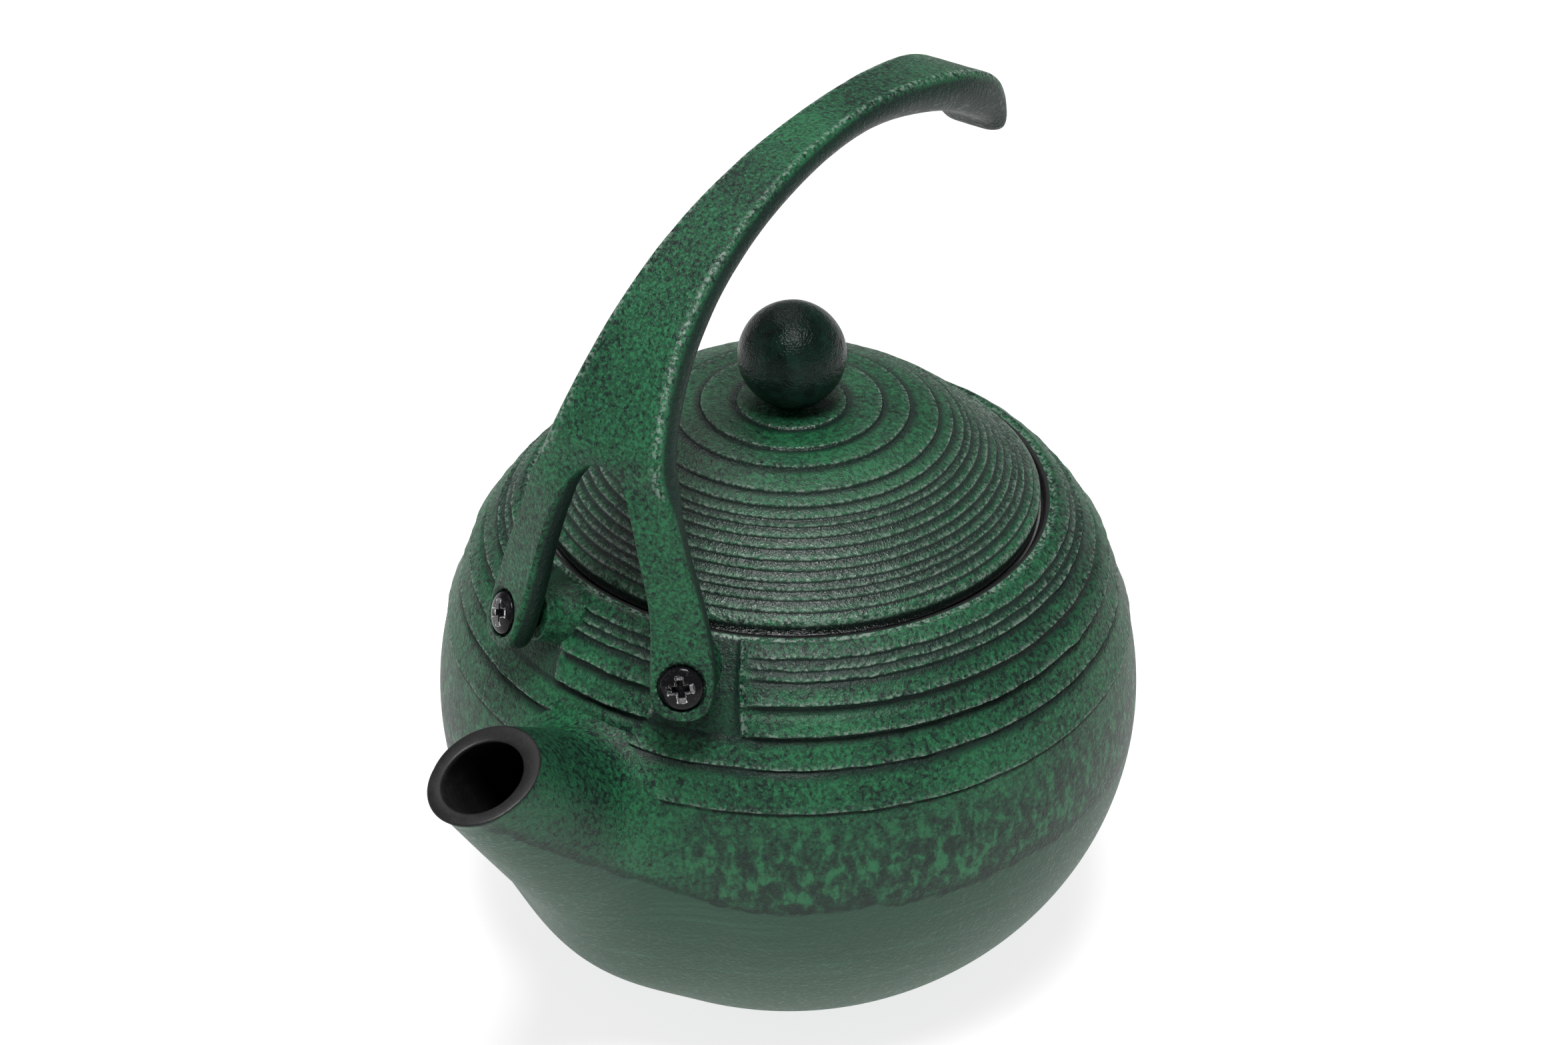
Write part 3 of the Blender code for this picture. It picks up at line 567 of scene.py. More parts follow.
def steel_finish(name, hues, drawn, line_scale, dull):
    tree, shader, place = new_finish(name)
    lines = grouped(tree, drawn, {"Vector": place, "Line scale": line_scale}).outputs
    feed(tree, shader, {
        "Base Color": blend(tree, lines["Stain"], rgba(hues.steel), scaled(hues.steel, 0.8)),
        "Metallic": 1.0, "Roughness": maths(tree, "ADD", lines["Roughness"], dull),
        "Normal": bumped(tree, lines["Height"], 0.01 * MM)})


def screw_finish(hues, grain):
    """Black screws whose cross recess is worn bright at its edges."""
    tree, shader, place = new_finish("screw_black")
    surface = grouped(tree, grain, {"Vector": place, "Pebble scale": 1800.0,
                                    "Grit share": 0.6}).outputs
    patchy = ramp(tree, surface["Height"], 0.85, 1.05)
    worn = maths(tree, "MULTIPLY", ramp(tree, mark(tree, "worn"), 0.9, 1.0), patchy)
    black = blend(tree, surface["Speck"], rgba(hues.screw_black), scaled(hues.screw_black, 3))
    feed(tree, shader, {
        "Base Color": blend(tree, worn, black, rgba(hues.steel)), "Metallic": worn,
        "Roughness": between(tree, surface["Speck"], 0.14, 0.26), "Specular IOR Level": 0.15,
        "Normal": bumped(tree, surface["Height"], 0.012 * MM)})


def floor_finish(hues):
    tree, shader, place = new_finish("pale_floor")
    paper = speckle(tree, place, 700.0)
    feed(tree, shader, {"Base Color": blend(tree, paper, rgba(hues.floor), scaled(hues.floor, 1.02)),
                        "Roughness": 0.7, "Emission Color": rgba((1.0, 1.0, 1.0)),
                        "Emission Strength": 0.78})


def make_finishes():
    hues = settings().colours
    grain, patina, drawn = cast_grain_group(), mottle_group(), steel_finish_group()
    greens = (hues.bright_green, hues.main_green, hues.dark_green, hues.rubbed_edge)
    lid_greens = [[c * 0.92 for c in hue] for hue in greens[:3]] + [hues.rubbed_edge]
    knob_greens = [[c * part for c in hues.knob_green] for part in (1.6, 1.0, 0.55)]
    for name, shades, pebble, dabs, depth, rough, shine in (
            ("handle_green", greens, 1250.0, (1350.0, 0.6), 0.34, (0.5, 0.28), 0.3),
            ("lid_green", lid_greens, 1400.0, (1000.0, 0.68), 0.3, (0.4, 0.24), 0.5),
            ("knob_green", knob_greens + [hues.rubbed_edge], 800.0, (300.0, 0.6), 0.3,
             (0.34, 0.22), 0.2)):
        green_finish(name, grain, patina, shades, pebble, dabs, depth * MM, rough, shine)
    pot_finish(hues, greens, grain, patina)
    enamel_finish(hues, grain)
    steel_finish("bright_steel", hues, drawn, 2400.0, 0.0)
    steel_finish("mesh_steel", hues, drawn, 3200.0, 0.12)
    screw_finish(hues, grain)
    floor_finish(hues)


def finish(name):
    return bpy.data.materials[name]


# ---- geometry node trees --------------------------------------------------------------

def field(tree, name, kind="FLOAT"):
    return node(tree, "GeometryNodeInputNamedAttribute", {"Name": name}, data_type=kind).outputs[0]


def whole(tree, operation, first, second):
    return node(tree, "FunctionNodeIntegerMath", {0: first, 1: second},
                operation=operation).outputs[0]


def round_place(tree, radius, turn, height):
    """A place at a radius and a height, turned about Z."""
    return node(tree, "ShaderNodeCombineXYZ", {
        0: maths(tree, "MULTIPLY", radius, maths(tree, "COSINE", turn)),
        1: maths(tree, "MULTIPLY", radius, maths(tree, "SINE", turn)), 2: height}).outputs[0]


def changed(tree, kind, made, inputs=None, **values):
    """Adds a node that changes a geometry, and returns what it makes."""
    return node(tree, kind, {0: made, **(inputs or {})}, **values).outputs[0]


def merged(tree, made, distance):
    return changed(tree, "GeometryNodeMergeByDistance", made, {"Distance": distance})


def wrapped_sheet(tree, steps, rows):
    """A sheet with one column more than its steps, and the fields of its rows and columns."""
    sheet = node(tree, "GeometryNodeMeshGrid", {"Vertices X": whole(tree, "ADD", steps, 1),
                                                "Vertices Y": rows}).outputs[0]
    index = tree.nodes.new("GeometryNodeInputIndex").outputs[0]
    return sheet, whole(tree, "MODULO", index, rows), whole(tree, "DIVIDE_FLOOR", index, rows)


def shape_group(name, inputs):
    """A Geometry Nodes group that takes a geometry, its own named sizes and a material."""
    tree, start, end = group("GeometryNodeTree", name, [
        ("Geometry", "Geometry", None), *inputs, ("Material", "Material", None)],
        [("Geometry", "Geometry")])
    tree.is_modifier = True
    return tree, start, end


def completed(tree, start, end, made):
    """Ends a tree with real faces in the material it was given."""
    made = changed(tree, "GeometryNodeRealizeInstances", made)
    made = changed(tree, "GeometryNodeSetMaterial", made, {"Material": start.outputs["Material"]})
    tree.links.new(made, end.inputs[0])
    return tree


def lathe_tree():
    """Turns a profile of points in the XZ plane about Z. Marked edges wander up and down."""
    tree, start, end = shape_group("Turned casting", [
        ("Steps", "Int", 64), ("Ripple", "Float", 0.0), ("Waves", "Float", 6.0)])
    profile, steps = start.outputs["Geometry"], start.outputs["Steps"]
    rows = node(tree, "GeometryNodeAttributeDomainSize", {0: profile}, component="MESH").outputs[0]
    made, row, column = wrapped_sheet(tree, steps, rows)

    def sampled(value, kind="FLOAT"):
        found = node(tree, "GeometryNodeSampleIndex", {0: profile, "Index": row}, data_type=kind)
        tree.links.new(value, found.inputs["Value"])
        return found.outputs[0]

    place = sampled(tree.nodes.new("GeometryNodeInputPosition").outputs[0], "FLOAT_VECTOR")
    parts = node(tree, "ShaderNodeSeparateXYZ", {0: place}).outputs
    turn = maths(tree, "MULTIPLY", maths(tree, "DIVIDE", column, steps), math.tau)
    layer = maths(tree, "MULTIPLY", sampled(field(tree, "ring")), 3.7)
    spot = round_place(tree, start.outputs["Waves"], turn, layer)
    wave = maths(tree, "SUBTRACT", speckle(tree, spot, 1.0, 4.0, 0.6), 0.5)
    amount = maths(tree, "MULTIPLY", sampled(field(tree, "ripple")), start.outputs["Ripple"])
    shift = maths(tree, "MULTIPLY", maths(tree, "MULTIPLY", wave, 2.0), amount)
    place = round_place(tree, maths(tree, "ADD", parts[0], shift), turn, parts[2])
    for name in ("lip", "groove"):
        made = changed(tree, "GeometryNodeStoreNamedAttribute", made,
                       {"Name": name, "Value": sampled(field(tree, name))},
                       data_type="FLOAT", domain="POINT")
    made = changed(tree, "GeometryNodeSetPosition", made, {"Position": place})
    return completed(tree, start, end, merged(tree, made, 0.000002))


def punched(tree, start, end, sheet, dropped=None, offset=None):
    """Turns a lattice of points into hexagonal cells, each with a hole, and thickens the sheet."""
    made = changed(tree, "GeometryNodeTriangulate", sheet, quad_method="SHORTEST_DIAGONAL")
    made = changed(tree, "GeometryNodeDualMesh", made, {"Keep Boundaries": True})
    if dropped is not None:
        made = changed(tree, "GeometryNodeDeleteGeometry", made, {1: dropped}, domain="FACE")
    inset = node(tree, "GeometryNodeExtrudeMesh", {0: made, "Offset Scale": 0.0, "Individual": True},
                 mode="FACES").outputs
    holes = changed(tree, "GeometryNodeScaleElements", inset[0],
                    {"Selection": inset["Top"], "Scale": start.outputs["Open share"]})
    holes = changed(tree, "GeometryNodeDeleteGeometry", holes, {1: inset["Top"]}, domain="FACE")
    holes = merged(tree, holes, 0.00001)
    sizes = {"Offset Scale": start.outputs["Thickness"], "Individual": False}
    if offset is not None:
        sizes["Offset"] = offset
    thick = changed(tree, "GeometryNodeExtrudeMesh", holes, sizes, mode="FACES")
    both = tree.nodes.new("GeometryNodeJoinGeometry")
    tree.links.new(thick, both.inputs[0])
    tree.links.new(changed(tree, "GeometryNodeFlipFaces", holes), both.inputs[0])
    return completed(tree, start, end, merged(tree, both.outputs[0], 0.000005))


PUNCHED_SIZES = [("Open share", "Float", 0.5), ("Thickness", "Float", 0.0005)]
ROW_STEP = math.sqrt(0.75)     # rows of a lattice of even pitch, as a share of the pitch


def perforated_tree():
    """A sheet of hexagonal cells with a hole in each, wrapped round Z as a tapered sleeve."""
    tree, start, end = shape_group("Perforated sleeve", [
        ("Around", "Int", 100), ("Rows", "Int", 20), ("Top radius", "Float", 0.039),
        ("Foot radius", "Float", 0.036), ("Top", "Float", 0.08), ("Foot", "Float", 0.04),
        *PUNCHED_SIZES])
    given = start.outputs
    sheet, row, column = wrapped_sheet(tree, given["Around"], given["Rows"])
    down = maths(tree, "DIVIDE", row, whole(tree, "SUBTRACT", given["Rows"], 1))
    leaned = maths(tree, "MULTIPLY_ADD", row, 0.5, column)
    turn = maths(tree, "MULTIPLY", maths(tree, "DIVIDE", leaned, given["Around"]), math.tau)
    place = round_place(tree, mixed(tree, down, given["Top radius"], given["Foot radius"]), turn,
                        mixed(tree, down, given["Top"], given["Foot"]))
    made = changed(tree, "GeometryNodeSetPosition", sheet, {"Position": place})
    return punched(tree, start, end, merged(tree, made, 0.00001))


def perforated_disc_tree():
    """A flat disc of hexagonal cells with a hole in each, on a lattice of even pitch."""
    tree, start, end = shape_group("Perforated disc", [
        ("Across", "Int", 51), ("Pitch", "Float", 0.002), ("Radius", "Float", 0.03),
        ("Foot", "Float", 0.04), *PUNCHED_SIZES])
    across, pitch = start.outputs["Across"], start.outputs["Pitch"]
    span = maths(tree, "SUBTRACT", across, 1.0)
    sheet = node(tree, "GeometryNodeMeshGrid", {"Vertices X": across, "Vertices Y": across,
                                                "Size X": span, "Size Y": span}).outputs[0]
    spot = tree.nodes.new("GeometryNodeInputPosition").outputs[0]
    parts = node(tree, "ShaderNodeSeparateXYZ", {0: spot}).outputs
    leaned = maths(tree, "MULTIPLY_ADD", parts[1], 0.5, parts[0])
    step = maths(tree, "MULTIPLY", pitch, ROW_STEP)
    place = node(tree, "ShaderNodeCombineXYZ", {
        0: maths(tree, "MULTIPLY", leaned, pitch), 1: maths(tree, "MULTIPLY", parts[1], step),
        2: start.outputs["Foot"]}).outputs[0]
    made = changed(tree, "GeometryNodeSetPosition", sheet, {"Position": place})
    far = node(tree, "ShaderNodeVectorMath", {0: stretched(tree, spot, (1.0, 1.0, 0.0))},
               operation="LENGTH").outputs["Value"]
    outside = maths(tree, "GREATER_THAN", far, start.outputs["Radius"])
    up = node(tree, "ShaderNodeCombineXYZ", {2: 1.0}).outputs[0]
    return punched(tree, start, end, made, outside, up)


def placed_tree():
    """Puts one copy of a piece at each point, turned by the point's angles."""
    tree, start, end = shape_group("Placed copies", [("Piece", "Object", None)])
    piece = node(tree, "GeometryNodeObjectInfo", {"Object": start.outputs["Piece"]})
    turn = node(tree, "FunctionNodeEulerToRotation", {0: field(tree, "turn", "FLOAT_VECTOR")})
    made = changed(tree, "GeometryNodeInstanceOnPoints", start.outputs["Geometry"],
                   {"Instance": piece.outputs["Geometry"], "Rotation": turn.outputs[0]})
    return completed(tree, start, end, made)


def shaped(obj, tree_maker, values):
    """Adds a Geometry Nodes modifier and sets its inputs by their sockets' identifiers."""
    name = tree_maker.__name__
    tree = bpy.data.node_groups.get(name)
    if tree is None:
        tree = tree_maker()
        tree.name = name
    step = obj.modifiers.new("shape", "NODES")
    step.node_group = tree
    for item in tree.interface.items_tree:
        if item.item_type == "SOCKET" and item.in_out == "INPUT" and item.name in values:
            step[item.identifier] = values[item.name]


def turned(name, rows, steps, material, ripple=0.0, waves=6.0, closed=False):
    """A turned piece from rows of (radius, height[, lip, groove, ripple, ring])."""
    full = [tuple(row) + (0.0,) * (6 - len(row)) for row in rows]
    if closed:
        full.append(full[0])
    mesh = bpy.data.meshes.new(name)
    edges = [(i, i + 1) for i in range(len(full) - 1)]
    mesh.from_pydata([(row[0], 0.0, row[1]) for row in full], edges, [])
    for column, title in ((2, "lip"), (3, "groove"), (4, "ripple"), (5, "ring")):
        store(mesh, title, [row[column] for row in full])
    profile = link(bpy.data.objects.new(name + "_profile", mesh))
    shaped(profile, lathe_tree, {"Steps": steps, "Ripple": ripple, "Waves": waves,
                                 "Material": finish(material)})
    made = baked(profile, name)
    outward(made)
    return edged(made, 50)


def rounded(points, radius, steps=3):
    """Rounds each inner corner of an open (radius, height) outline with a small arc."""
    out = [points[0]]
    for before, corner, after in zip(points[:-2], points[1:-1], points[2:]):
        corner_v = Vector(corner)
        to_before = Vector(before) - corner_v
        to_after = Vector(after) - corner_v
        reach = min(radius, to_before.length * 0.45, to_after.length * 0.45)
        first = corner_v + to_before.normalized() * reach
        second = corner_v + to_after.normalized() * reach
        for i in range(steps + 1):
            t = i / steps
            spot = first * (1 - t) ** 2 + corner_v * 2 * t * (1 - t) + second * t * t
            out.append((spot.x, spot.y))
    out.append(points[-1])
    return out


# ---- shapes that the pot's skin follows -------------------------------------------------

class Bowl:
    """The pot's wall as a level field: below zero inside it, at an inset from its outer face."""

    def __init__(self, inset=0.0):
        pot = settings().pot
        widest = pot.belly_radius
        upper = (pot.rim_height - pot.belly_height) / math.sqrt(1 - (pot.collar_radius / widest) ** 2)
        lower = pot.belly_height / math.sqrt(1 - (pot.foot_radius / widest) ** 2)
        self.middle = pot.belly_height
        self.radius = widest - inset
        self.upper = upper - inset
        self.lower = lower - inset

    def half(self, height):
        return np.where(height > self.middle, self.upper, self.lower)

    def at(self, height):
        rise = (height - self.middle) / self.half(height)
        return self.radius * np.sqrt(np.maximum(0.0, 1 - rise * rise))

    def level(self, points):
        flat = points[:, :2] / self.radius
        half = self.half(points[:, 2])
        rise = (points[:, 2] - self.middle) / half
        size = np.sqrt((flat ** 2).sum(1) + rise ** 2)
        slope = np.column_stack([flat / self.radius, rise / half]) / size[:, None]
        steep = np.linalg.norm(slope, axis=1)
        return (size - 1) / steep, slope / steep[:, None]


class Tube:
    """The spout as a level field round its centre line."""

    def __init__(self, root_radius, neck_radius, mouth_radius, past_mouth):
        shares = np.linspace(0.0, 1.0, 150)
        centres = np.array([spout_point(s) for s in shares])
        radii = (root_radius * (1 - shares) ** 2 + neck_radius * 2 * shares * (1 - shares)
                 + mouth_radius * shares ** 2)
        on = np.linspace(0.0, past_mouth, 24)[1:, None]
        tip = centres[-1] + on * np.array(tilted(settings().spout.rise_angle))
        self.centres = np.vstack([centres, tip])
        self.radii = np.append(radii, np.full(len(tip), mouth_radius))

    def level(self, points):
        values = np.empty(len(points))
        slopes = np.empty((len(points), 3))
        for first in range(0, len(points), 8192):
            part = points[first:first + 8192]
            away = part[:, None, :] - self.centres[None]
            far = np.linalg.norm(away, axis=2)
            nearest = (far - self.radii).argmin(1)
            pick = np.arange(len(part))
            distance = far[pick, nearest]
            values[first:first + 8192] = distance - self.radii[nearest]
            slopes[first:first + 8192] = away[pick, nearest] / np.maximum(distance, 1e-9)[:, None]
        return values, slopes


class Joined:
    """Bowl and tube run into each other with a fillet."""

    def __init__(self, bowl, tube, fillet):
        self.bowl = bowl
        self.tube = tube
        self.fillet = fillet

    def level(self, points):
        first, first_slope = self.bowl.level(points)
        second, second_slope = self.tube.level(points)
        part = np.clip(0.5 + 0.5 * (second - first) / self.fillet, 0.0, 1.0)
        value = second * (1 - part) + first * part - self.fillet * part * (1 - part)
        slope = first_slope * part[:, None] + second_slope * (1 - part)[:, None]
        return value, slope / np.linalg.norm(slope, axis=1)[:, None]

    def settle(self, points, rounds=5):
        """Moves points straight onto the surface."""
        for _ in range(rounds):
            value, slope = self.level(points)
            points = points - value[:, None] * slope
        return points

    def reach(self, origin, directions, guess, rounds=14):
        """Where rays from an origin leave the surface."""
        far = np.broadcast_to(np.asarray(guess, float), (len(directions),)).copy()
        for _ in range(rounds):
            value, slope = self.level(origin + far[:, None] * directions)
            along = np.maximum((slope * directions).sum(1), 0.35)
            far = np.maximum(far - value / along, 0.5 * MM)
        return origin + far[:, None] * directions


def tilted(angle):
    """Unit vector in the plane of symmetry, towards the spout and up by that angle."""
    return Vector((0, -math.cos(angle), math.sin(angle)))


def spout_mouth():
    pot, spout = settings().pot, settings().spout
    return Vector((0, -pot.belly_radius - spout.reach, pot.rim_height - spout.below_rim))


def spout_point(part):
    """Centre line of the spout: a quadratic arc from inside the belly to the mouth."""
    spout = settings().spout
    depth = float(Bowl().at(spout.root_height)) - spout.root_radius
    root = Vector((0, -depth, spout.root_height))
    mouth = spout_mouth()
    run = (mouth - root).length
    bend = mouth - tilted(spout.rise_angle) * run * spout.bend
    return root * (1 - part) ** 2 + bend * 2 * part * (1 - part) + mouth * part * part


HALF_COLUMNS = 160       # columns of the skin from the spout's side to the back
OUT_PATCH = 16           # half columns across the spout's root, outside
OUT_ROWS = 62            # rows down the spout's root, outside
IN_PATCH = 33            # half columns across the bore's root, inside
IN_ROWS = 28             # rows down the bore's root, inside
PANEL_COLUMNS = (20, 23, 35, 38)   # columns of the panels' edges beside the legs


def patch_angles(bowl, tube, heights, margin, least):
    """Angle from the spout's middle, at each height, where the wall is that far from the tube."""
    turns = np.radians(np.linspace(0.0, 60.0, 241))
    found = []
    for height in heights:
        radius = float(bowl.at(height))
        ring = np.column_stack([radius * np.sin(turns), -radius * np.cos(turns),
                                np.full(len(turns), height)])
        clear = tube.level(ring)[0] > margin
        found.append(turns[int(clear.argmax())] if clear.any() else turns[-1])
    found = np.maximum(np.array(found), least)
    for _ in range(6):
        padded = np.pad(found, 1, mode="edge")
        found = (padded[:-2] + 2 * padded[1:-1] + padded[2:]) / 4
    return found


def full_angles(key_columns, key_angles):
    """Angles of all columns: the keys of one half, filled in between and mirrored."""
    half = np.interp(np.arange(HALF_COLUMNS + 1), key_columns, key_angles)
    return np.concatenate([half, -half[1:-1][::-1]])


def ring_points(radius, height, angles):
    radius = np.broadcast_to(radius, angles.shape)
    height = np.broadcast_to(height, angles.shape)
    return np.column_stack([radius * np.sin(angles), -radius * np.cos(angles), height])


def angles_of(points):
    """Each point's angle about Z, from the spout's side."""
    return np.arctan2(points[:, 0], -points[:, 1])


def opening(patch):
    """Marks the columns that stay open where the spout joins."""
    marks = np.zeros(2 * HALF_COLUMNS, bool)
    marks[:patch] = True
    marks[-patch:] = True
    return marks


def root_loop(patch, first_row, last_row):
    """(row, column) of the patch's outline, from its top middle round past +X."""
    top = [(first_row, j) for j in range(0, patch)]
    right = [(row, patch) for row in range(first_row, last_row)]
    bottom = [(last_row, j) for j in range(patch, -patch, -1)]
    left = [(row, -patch) for row in range(last_row, first_row, -1)]
    return top + right + bottom + left + [(first_row, j) for j in range(-patch, 0)]


def spout_rings(form, loop, start_share, bridge_rings, tube_rings):
    """Rings of points from the root's outline to the mouth's plane."""
    spout = settings().spout
    across = np.array((1.0, 0.0, 0.0))
    mouth = np.array(spout_mouth())
    inward = np.array((0.0, math.sin(spout.mouth_tilt), math.cos(spout.mouth_tilt)))
    ends = form.reach(mouth, np.array([inward, -inward]), 8 * MM)
    half = len(loop) // 2
    shares = np.linspace(0.0, 1.0, 161)[:, None]
    sides = []
    for first, last in ((loop[0], ends[0]), (loop[half], ends[1])):
        line = form.settle(first * (1 - shares) + last * shares)
        line[:, 0] = 0.0
        run = np.append(0.0, np.cumsum(np.linalg.norm(np.diff(line, axis=0), axis=1)))
        sides.append((line, run / run[-1]))
    turns = math.tau * np.arange(len(loop)) / len(loop)

    def ring(part):
        top, low = [np.array([np.interp(part, run, line[:, k]) for k in range(3)])
                    for line, run in sides]
        middle = (top + low) / 2
        up = (top - low) / np.linalg.norm(top - low)
        rays = np.cos(turns)[:, None] * up + np.sin(turns)[:, None] * across
        return form.reach(middle, rays, np.linalg.norm(top - low) / 2)

    first = ring(start_share)
    rings = []
    for i in range(1, bridge_rings):
        part = i / bridge_rings
        rings.append(form.settle(loop * (1 - part) + first * part))
    rings += [ring(part) for part in np.linspace(start_share, 1.0, tube_rings)]
    return rings


class Skin:
    """Collects rings of points and the faces between them."""

    def __init__(self):
        self.points = []
        self.marks = {"lip": [], "groove": [], "glaze": []}
        self.faces = []
        self.finishes = []
        self.total = 0

    def add(self, points, lip=0.0, groove=0.0, glaze=0.0):
        self.points.append(points)
        for name, value in (("lip", lip), ("groove", groove), ("glaze", glaze)):
            self.marks[name].append(np.broadcast_to(value, (len(points),)))
        first = self.total
        self.total += len(points)
        return np.arange(first, self.total)

    def follow(self, previous, points, finish_index, skip=None, **marks):
        """Adds a ring of points and the faces between it and the ring before."""
        ring = self.add(points, **marks)
        self.bridge(ring, previous, finish_index, skip)
        return ring

    def bridge(self, upper, lower, finish_index, skip=None):
        """Faces between two rings of the same length. skip marks columns that stay open."""
        number = len(upper)
        for j in range(number):
            if skip is None or not skip[j]:
                k = (j + 1) % number
                self.faces.append((upper[j], lower[j], lower[k], upper[k]))
                self.finishes.append(finish_index)

    def close(self, ring, point, finish_index):
        """Closes a ring to one point."""
        centre = self.add(np.array([point]))[0]
        for j in range(len(ring)):
            self.faces.append((ring[j], centre, ring[(j + 1) % len(ring)]))
            self.finishes.append(finish_index)

    def build(self, name, finishes):
        marks = {key: np.concatenate(value) for key, value in self.marks.items()}
        obj = mesh_object(name, np.vstack(self.points), [tuple(map(int, f)) for f in self.faces],
                          [finish(f) for f in finishes], self.finishes, marks)
        work = bmesh.new()
        work.from_mesh(obj.data)
        loose = [v for v in work.verts if not v.link_faces]
        bmesh.ops.delete(work, geom=loose, context="VERTS")
        bmesh.ops.recalc_face_normals(work, faces=work.faces)
        work.to_mesh(obj.data)
        work.free()
        return obj


# Lower edges of the pot's terraces, below the rim, with their rise as a share of the full rise.
POT_TERRACES = ((2.16, 0.75), (3.55, 0.4), (4.9, 0.95), (8.05, 1.0), (12.15, 1.1), (16.79, 1.05),
                (23.59, 0.95))
PANEL_FOOT = 4           # the terrace whose lower edge is the foot of the panels


def terrace_rows(edges, start, end_height):
    """Rows down a terraced wall: (height, rise share, lip, groove, ripple share, terrace)."""
    rows = []
    above = start
    for number, (edge, rise) in enumerate(edges):
        for part in (0.0, 0.3, 0.55, 0.75, 0.88, 0.96):
            height = above + (edge - above) * part
            # painted shade just below each terrace's overhang, fading down the terrace, and a painted
            # highlight, with worn paint, towards each lower edge
            shade = 0.9 * math.exp(-abs(height - above) / (0.65 * MM)) if number else 0.0
            lip = 0.85 * math.exp(-abs(edge - height) / (0.32 * MM))
            rows.append((height, rise * (0.05 + 0.8 * part ** 1.3), lip, shade, part ** 2, number))
        # the edge row carries the painted highlight; the rows tucked under it carry painted shade beneath
        # the overhang
        rows.append((edge, rise * 0.92, 1.0, 0.0, 1.0, number))
        step = -0.08 * MM if edge < start else 0.08 * MM
        rows.append((edge + step, rise * 0.74, 0.8, 0.35, 1.0, number))
        rows.append((edge + 2.0 * step, rise * 0.1, 0.0, 1.0, 1.0, number))
        rows.append((edge + 3.8 * step, -0.18 * rise, 0.0, 1.0, 1.0, number))
        above = edge + 6 * step
    rows.append((above, 0.0, 0.0, 0.85, 0.5, len(edges)))
    for i in range(1, 5):
        rows.append((above + (end_height - above) * i / 4, 0.0, 0.0, 0.0, 0.0, len(edges)))
    return rows


PARTING_HEIGHT = 45.5 * MM     # where the dabbed glaze ends round the belly
SPOUT_PARTING = 3.2 * MM       # how much higher it ends at the spout's root
SPOUT_PARTING_RISE = 0.98      # its rise along the spout, as a slope


def parting_height(points):
    """Height where the dabbed glaze ends, higher along the spout."""
    out = np.hypot(points[:, 0], points[:, 1]) - settings().pot.belly_radius
    near = smoothstep(-28 * MM, -15 * MM, -np.abs(points[:, 0])) * (points[:, 1] < 0)
    return PARTING_HEIGHT + near * (SPOUT_PARTING + SPOUT_PARTING_RISE * np.maximum(0.0, out))


def glaze_mark(points):
    """Height above the end of the dabbed glaze, in centimetres."""
    return (points[:, 2] - parting_height(points)) / (10 * MM)


PANEL_DEPTH = 12.15 * MM       # rim to the foot of the panels
PANEL_INNER = (11.9, 9.3)      # inner panel's edge from the middle, at the rim and foot, in mm
PANEL_OUTER = (18.8, 24.3)     # outer panel's edge from the middle, at the rim and foot, in mm


def panel_angles(height, least):
    """Angles of the panel edges beside a leg: inner panel, foot, foot, outer panel."""
    pot = settings().pot
    down = min(1.0, max(0.0, (pot.rim_height - height) / PANEL_DEPTH))
    radius = float(Bowl().at(min(height, pot.rim_height)))
    inner, outer = [math.asin((high + (low - high) * down) * MM / radius)
                    for high, low in (PANEL_INNER, PANEL_OUTER)]
    bevel = 0.4 * MM / radius
    keys = [inner, inner + bevel, outer - bevel, outer]
    low = [least + math.radians(a) for a in (2.5, 4.0, 11.0, 12.5)]
    part = float(smoothstep(60 * MM, 74 * MM, height))
    return [a * part + b * (1 - part) for a, b in zip(keys, low)]


PLAIN_TOP = 61.5 * MM          # below this height the wall has no terraces
PLAIN_TERRACE = 9


def plain_row(height):
    return [height, 0.0, 0.0, 0.0, 0.0, PLAIN_TERRACE]


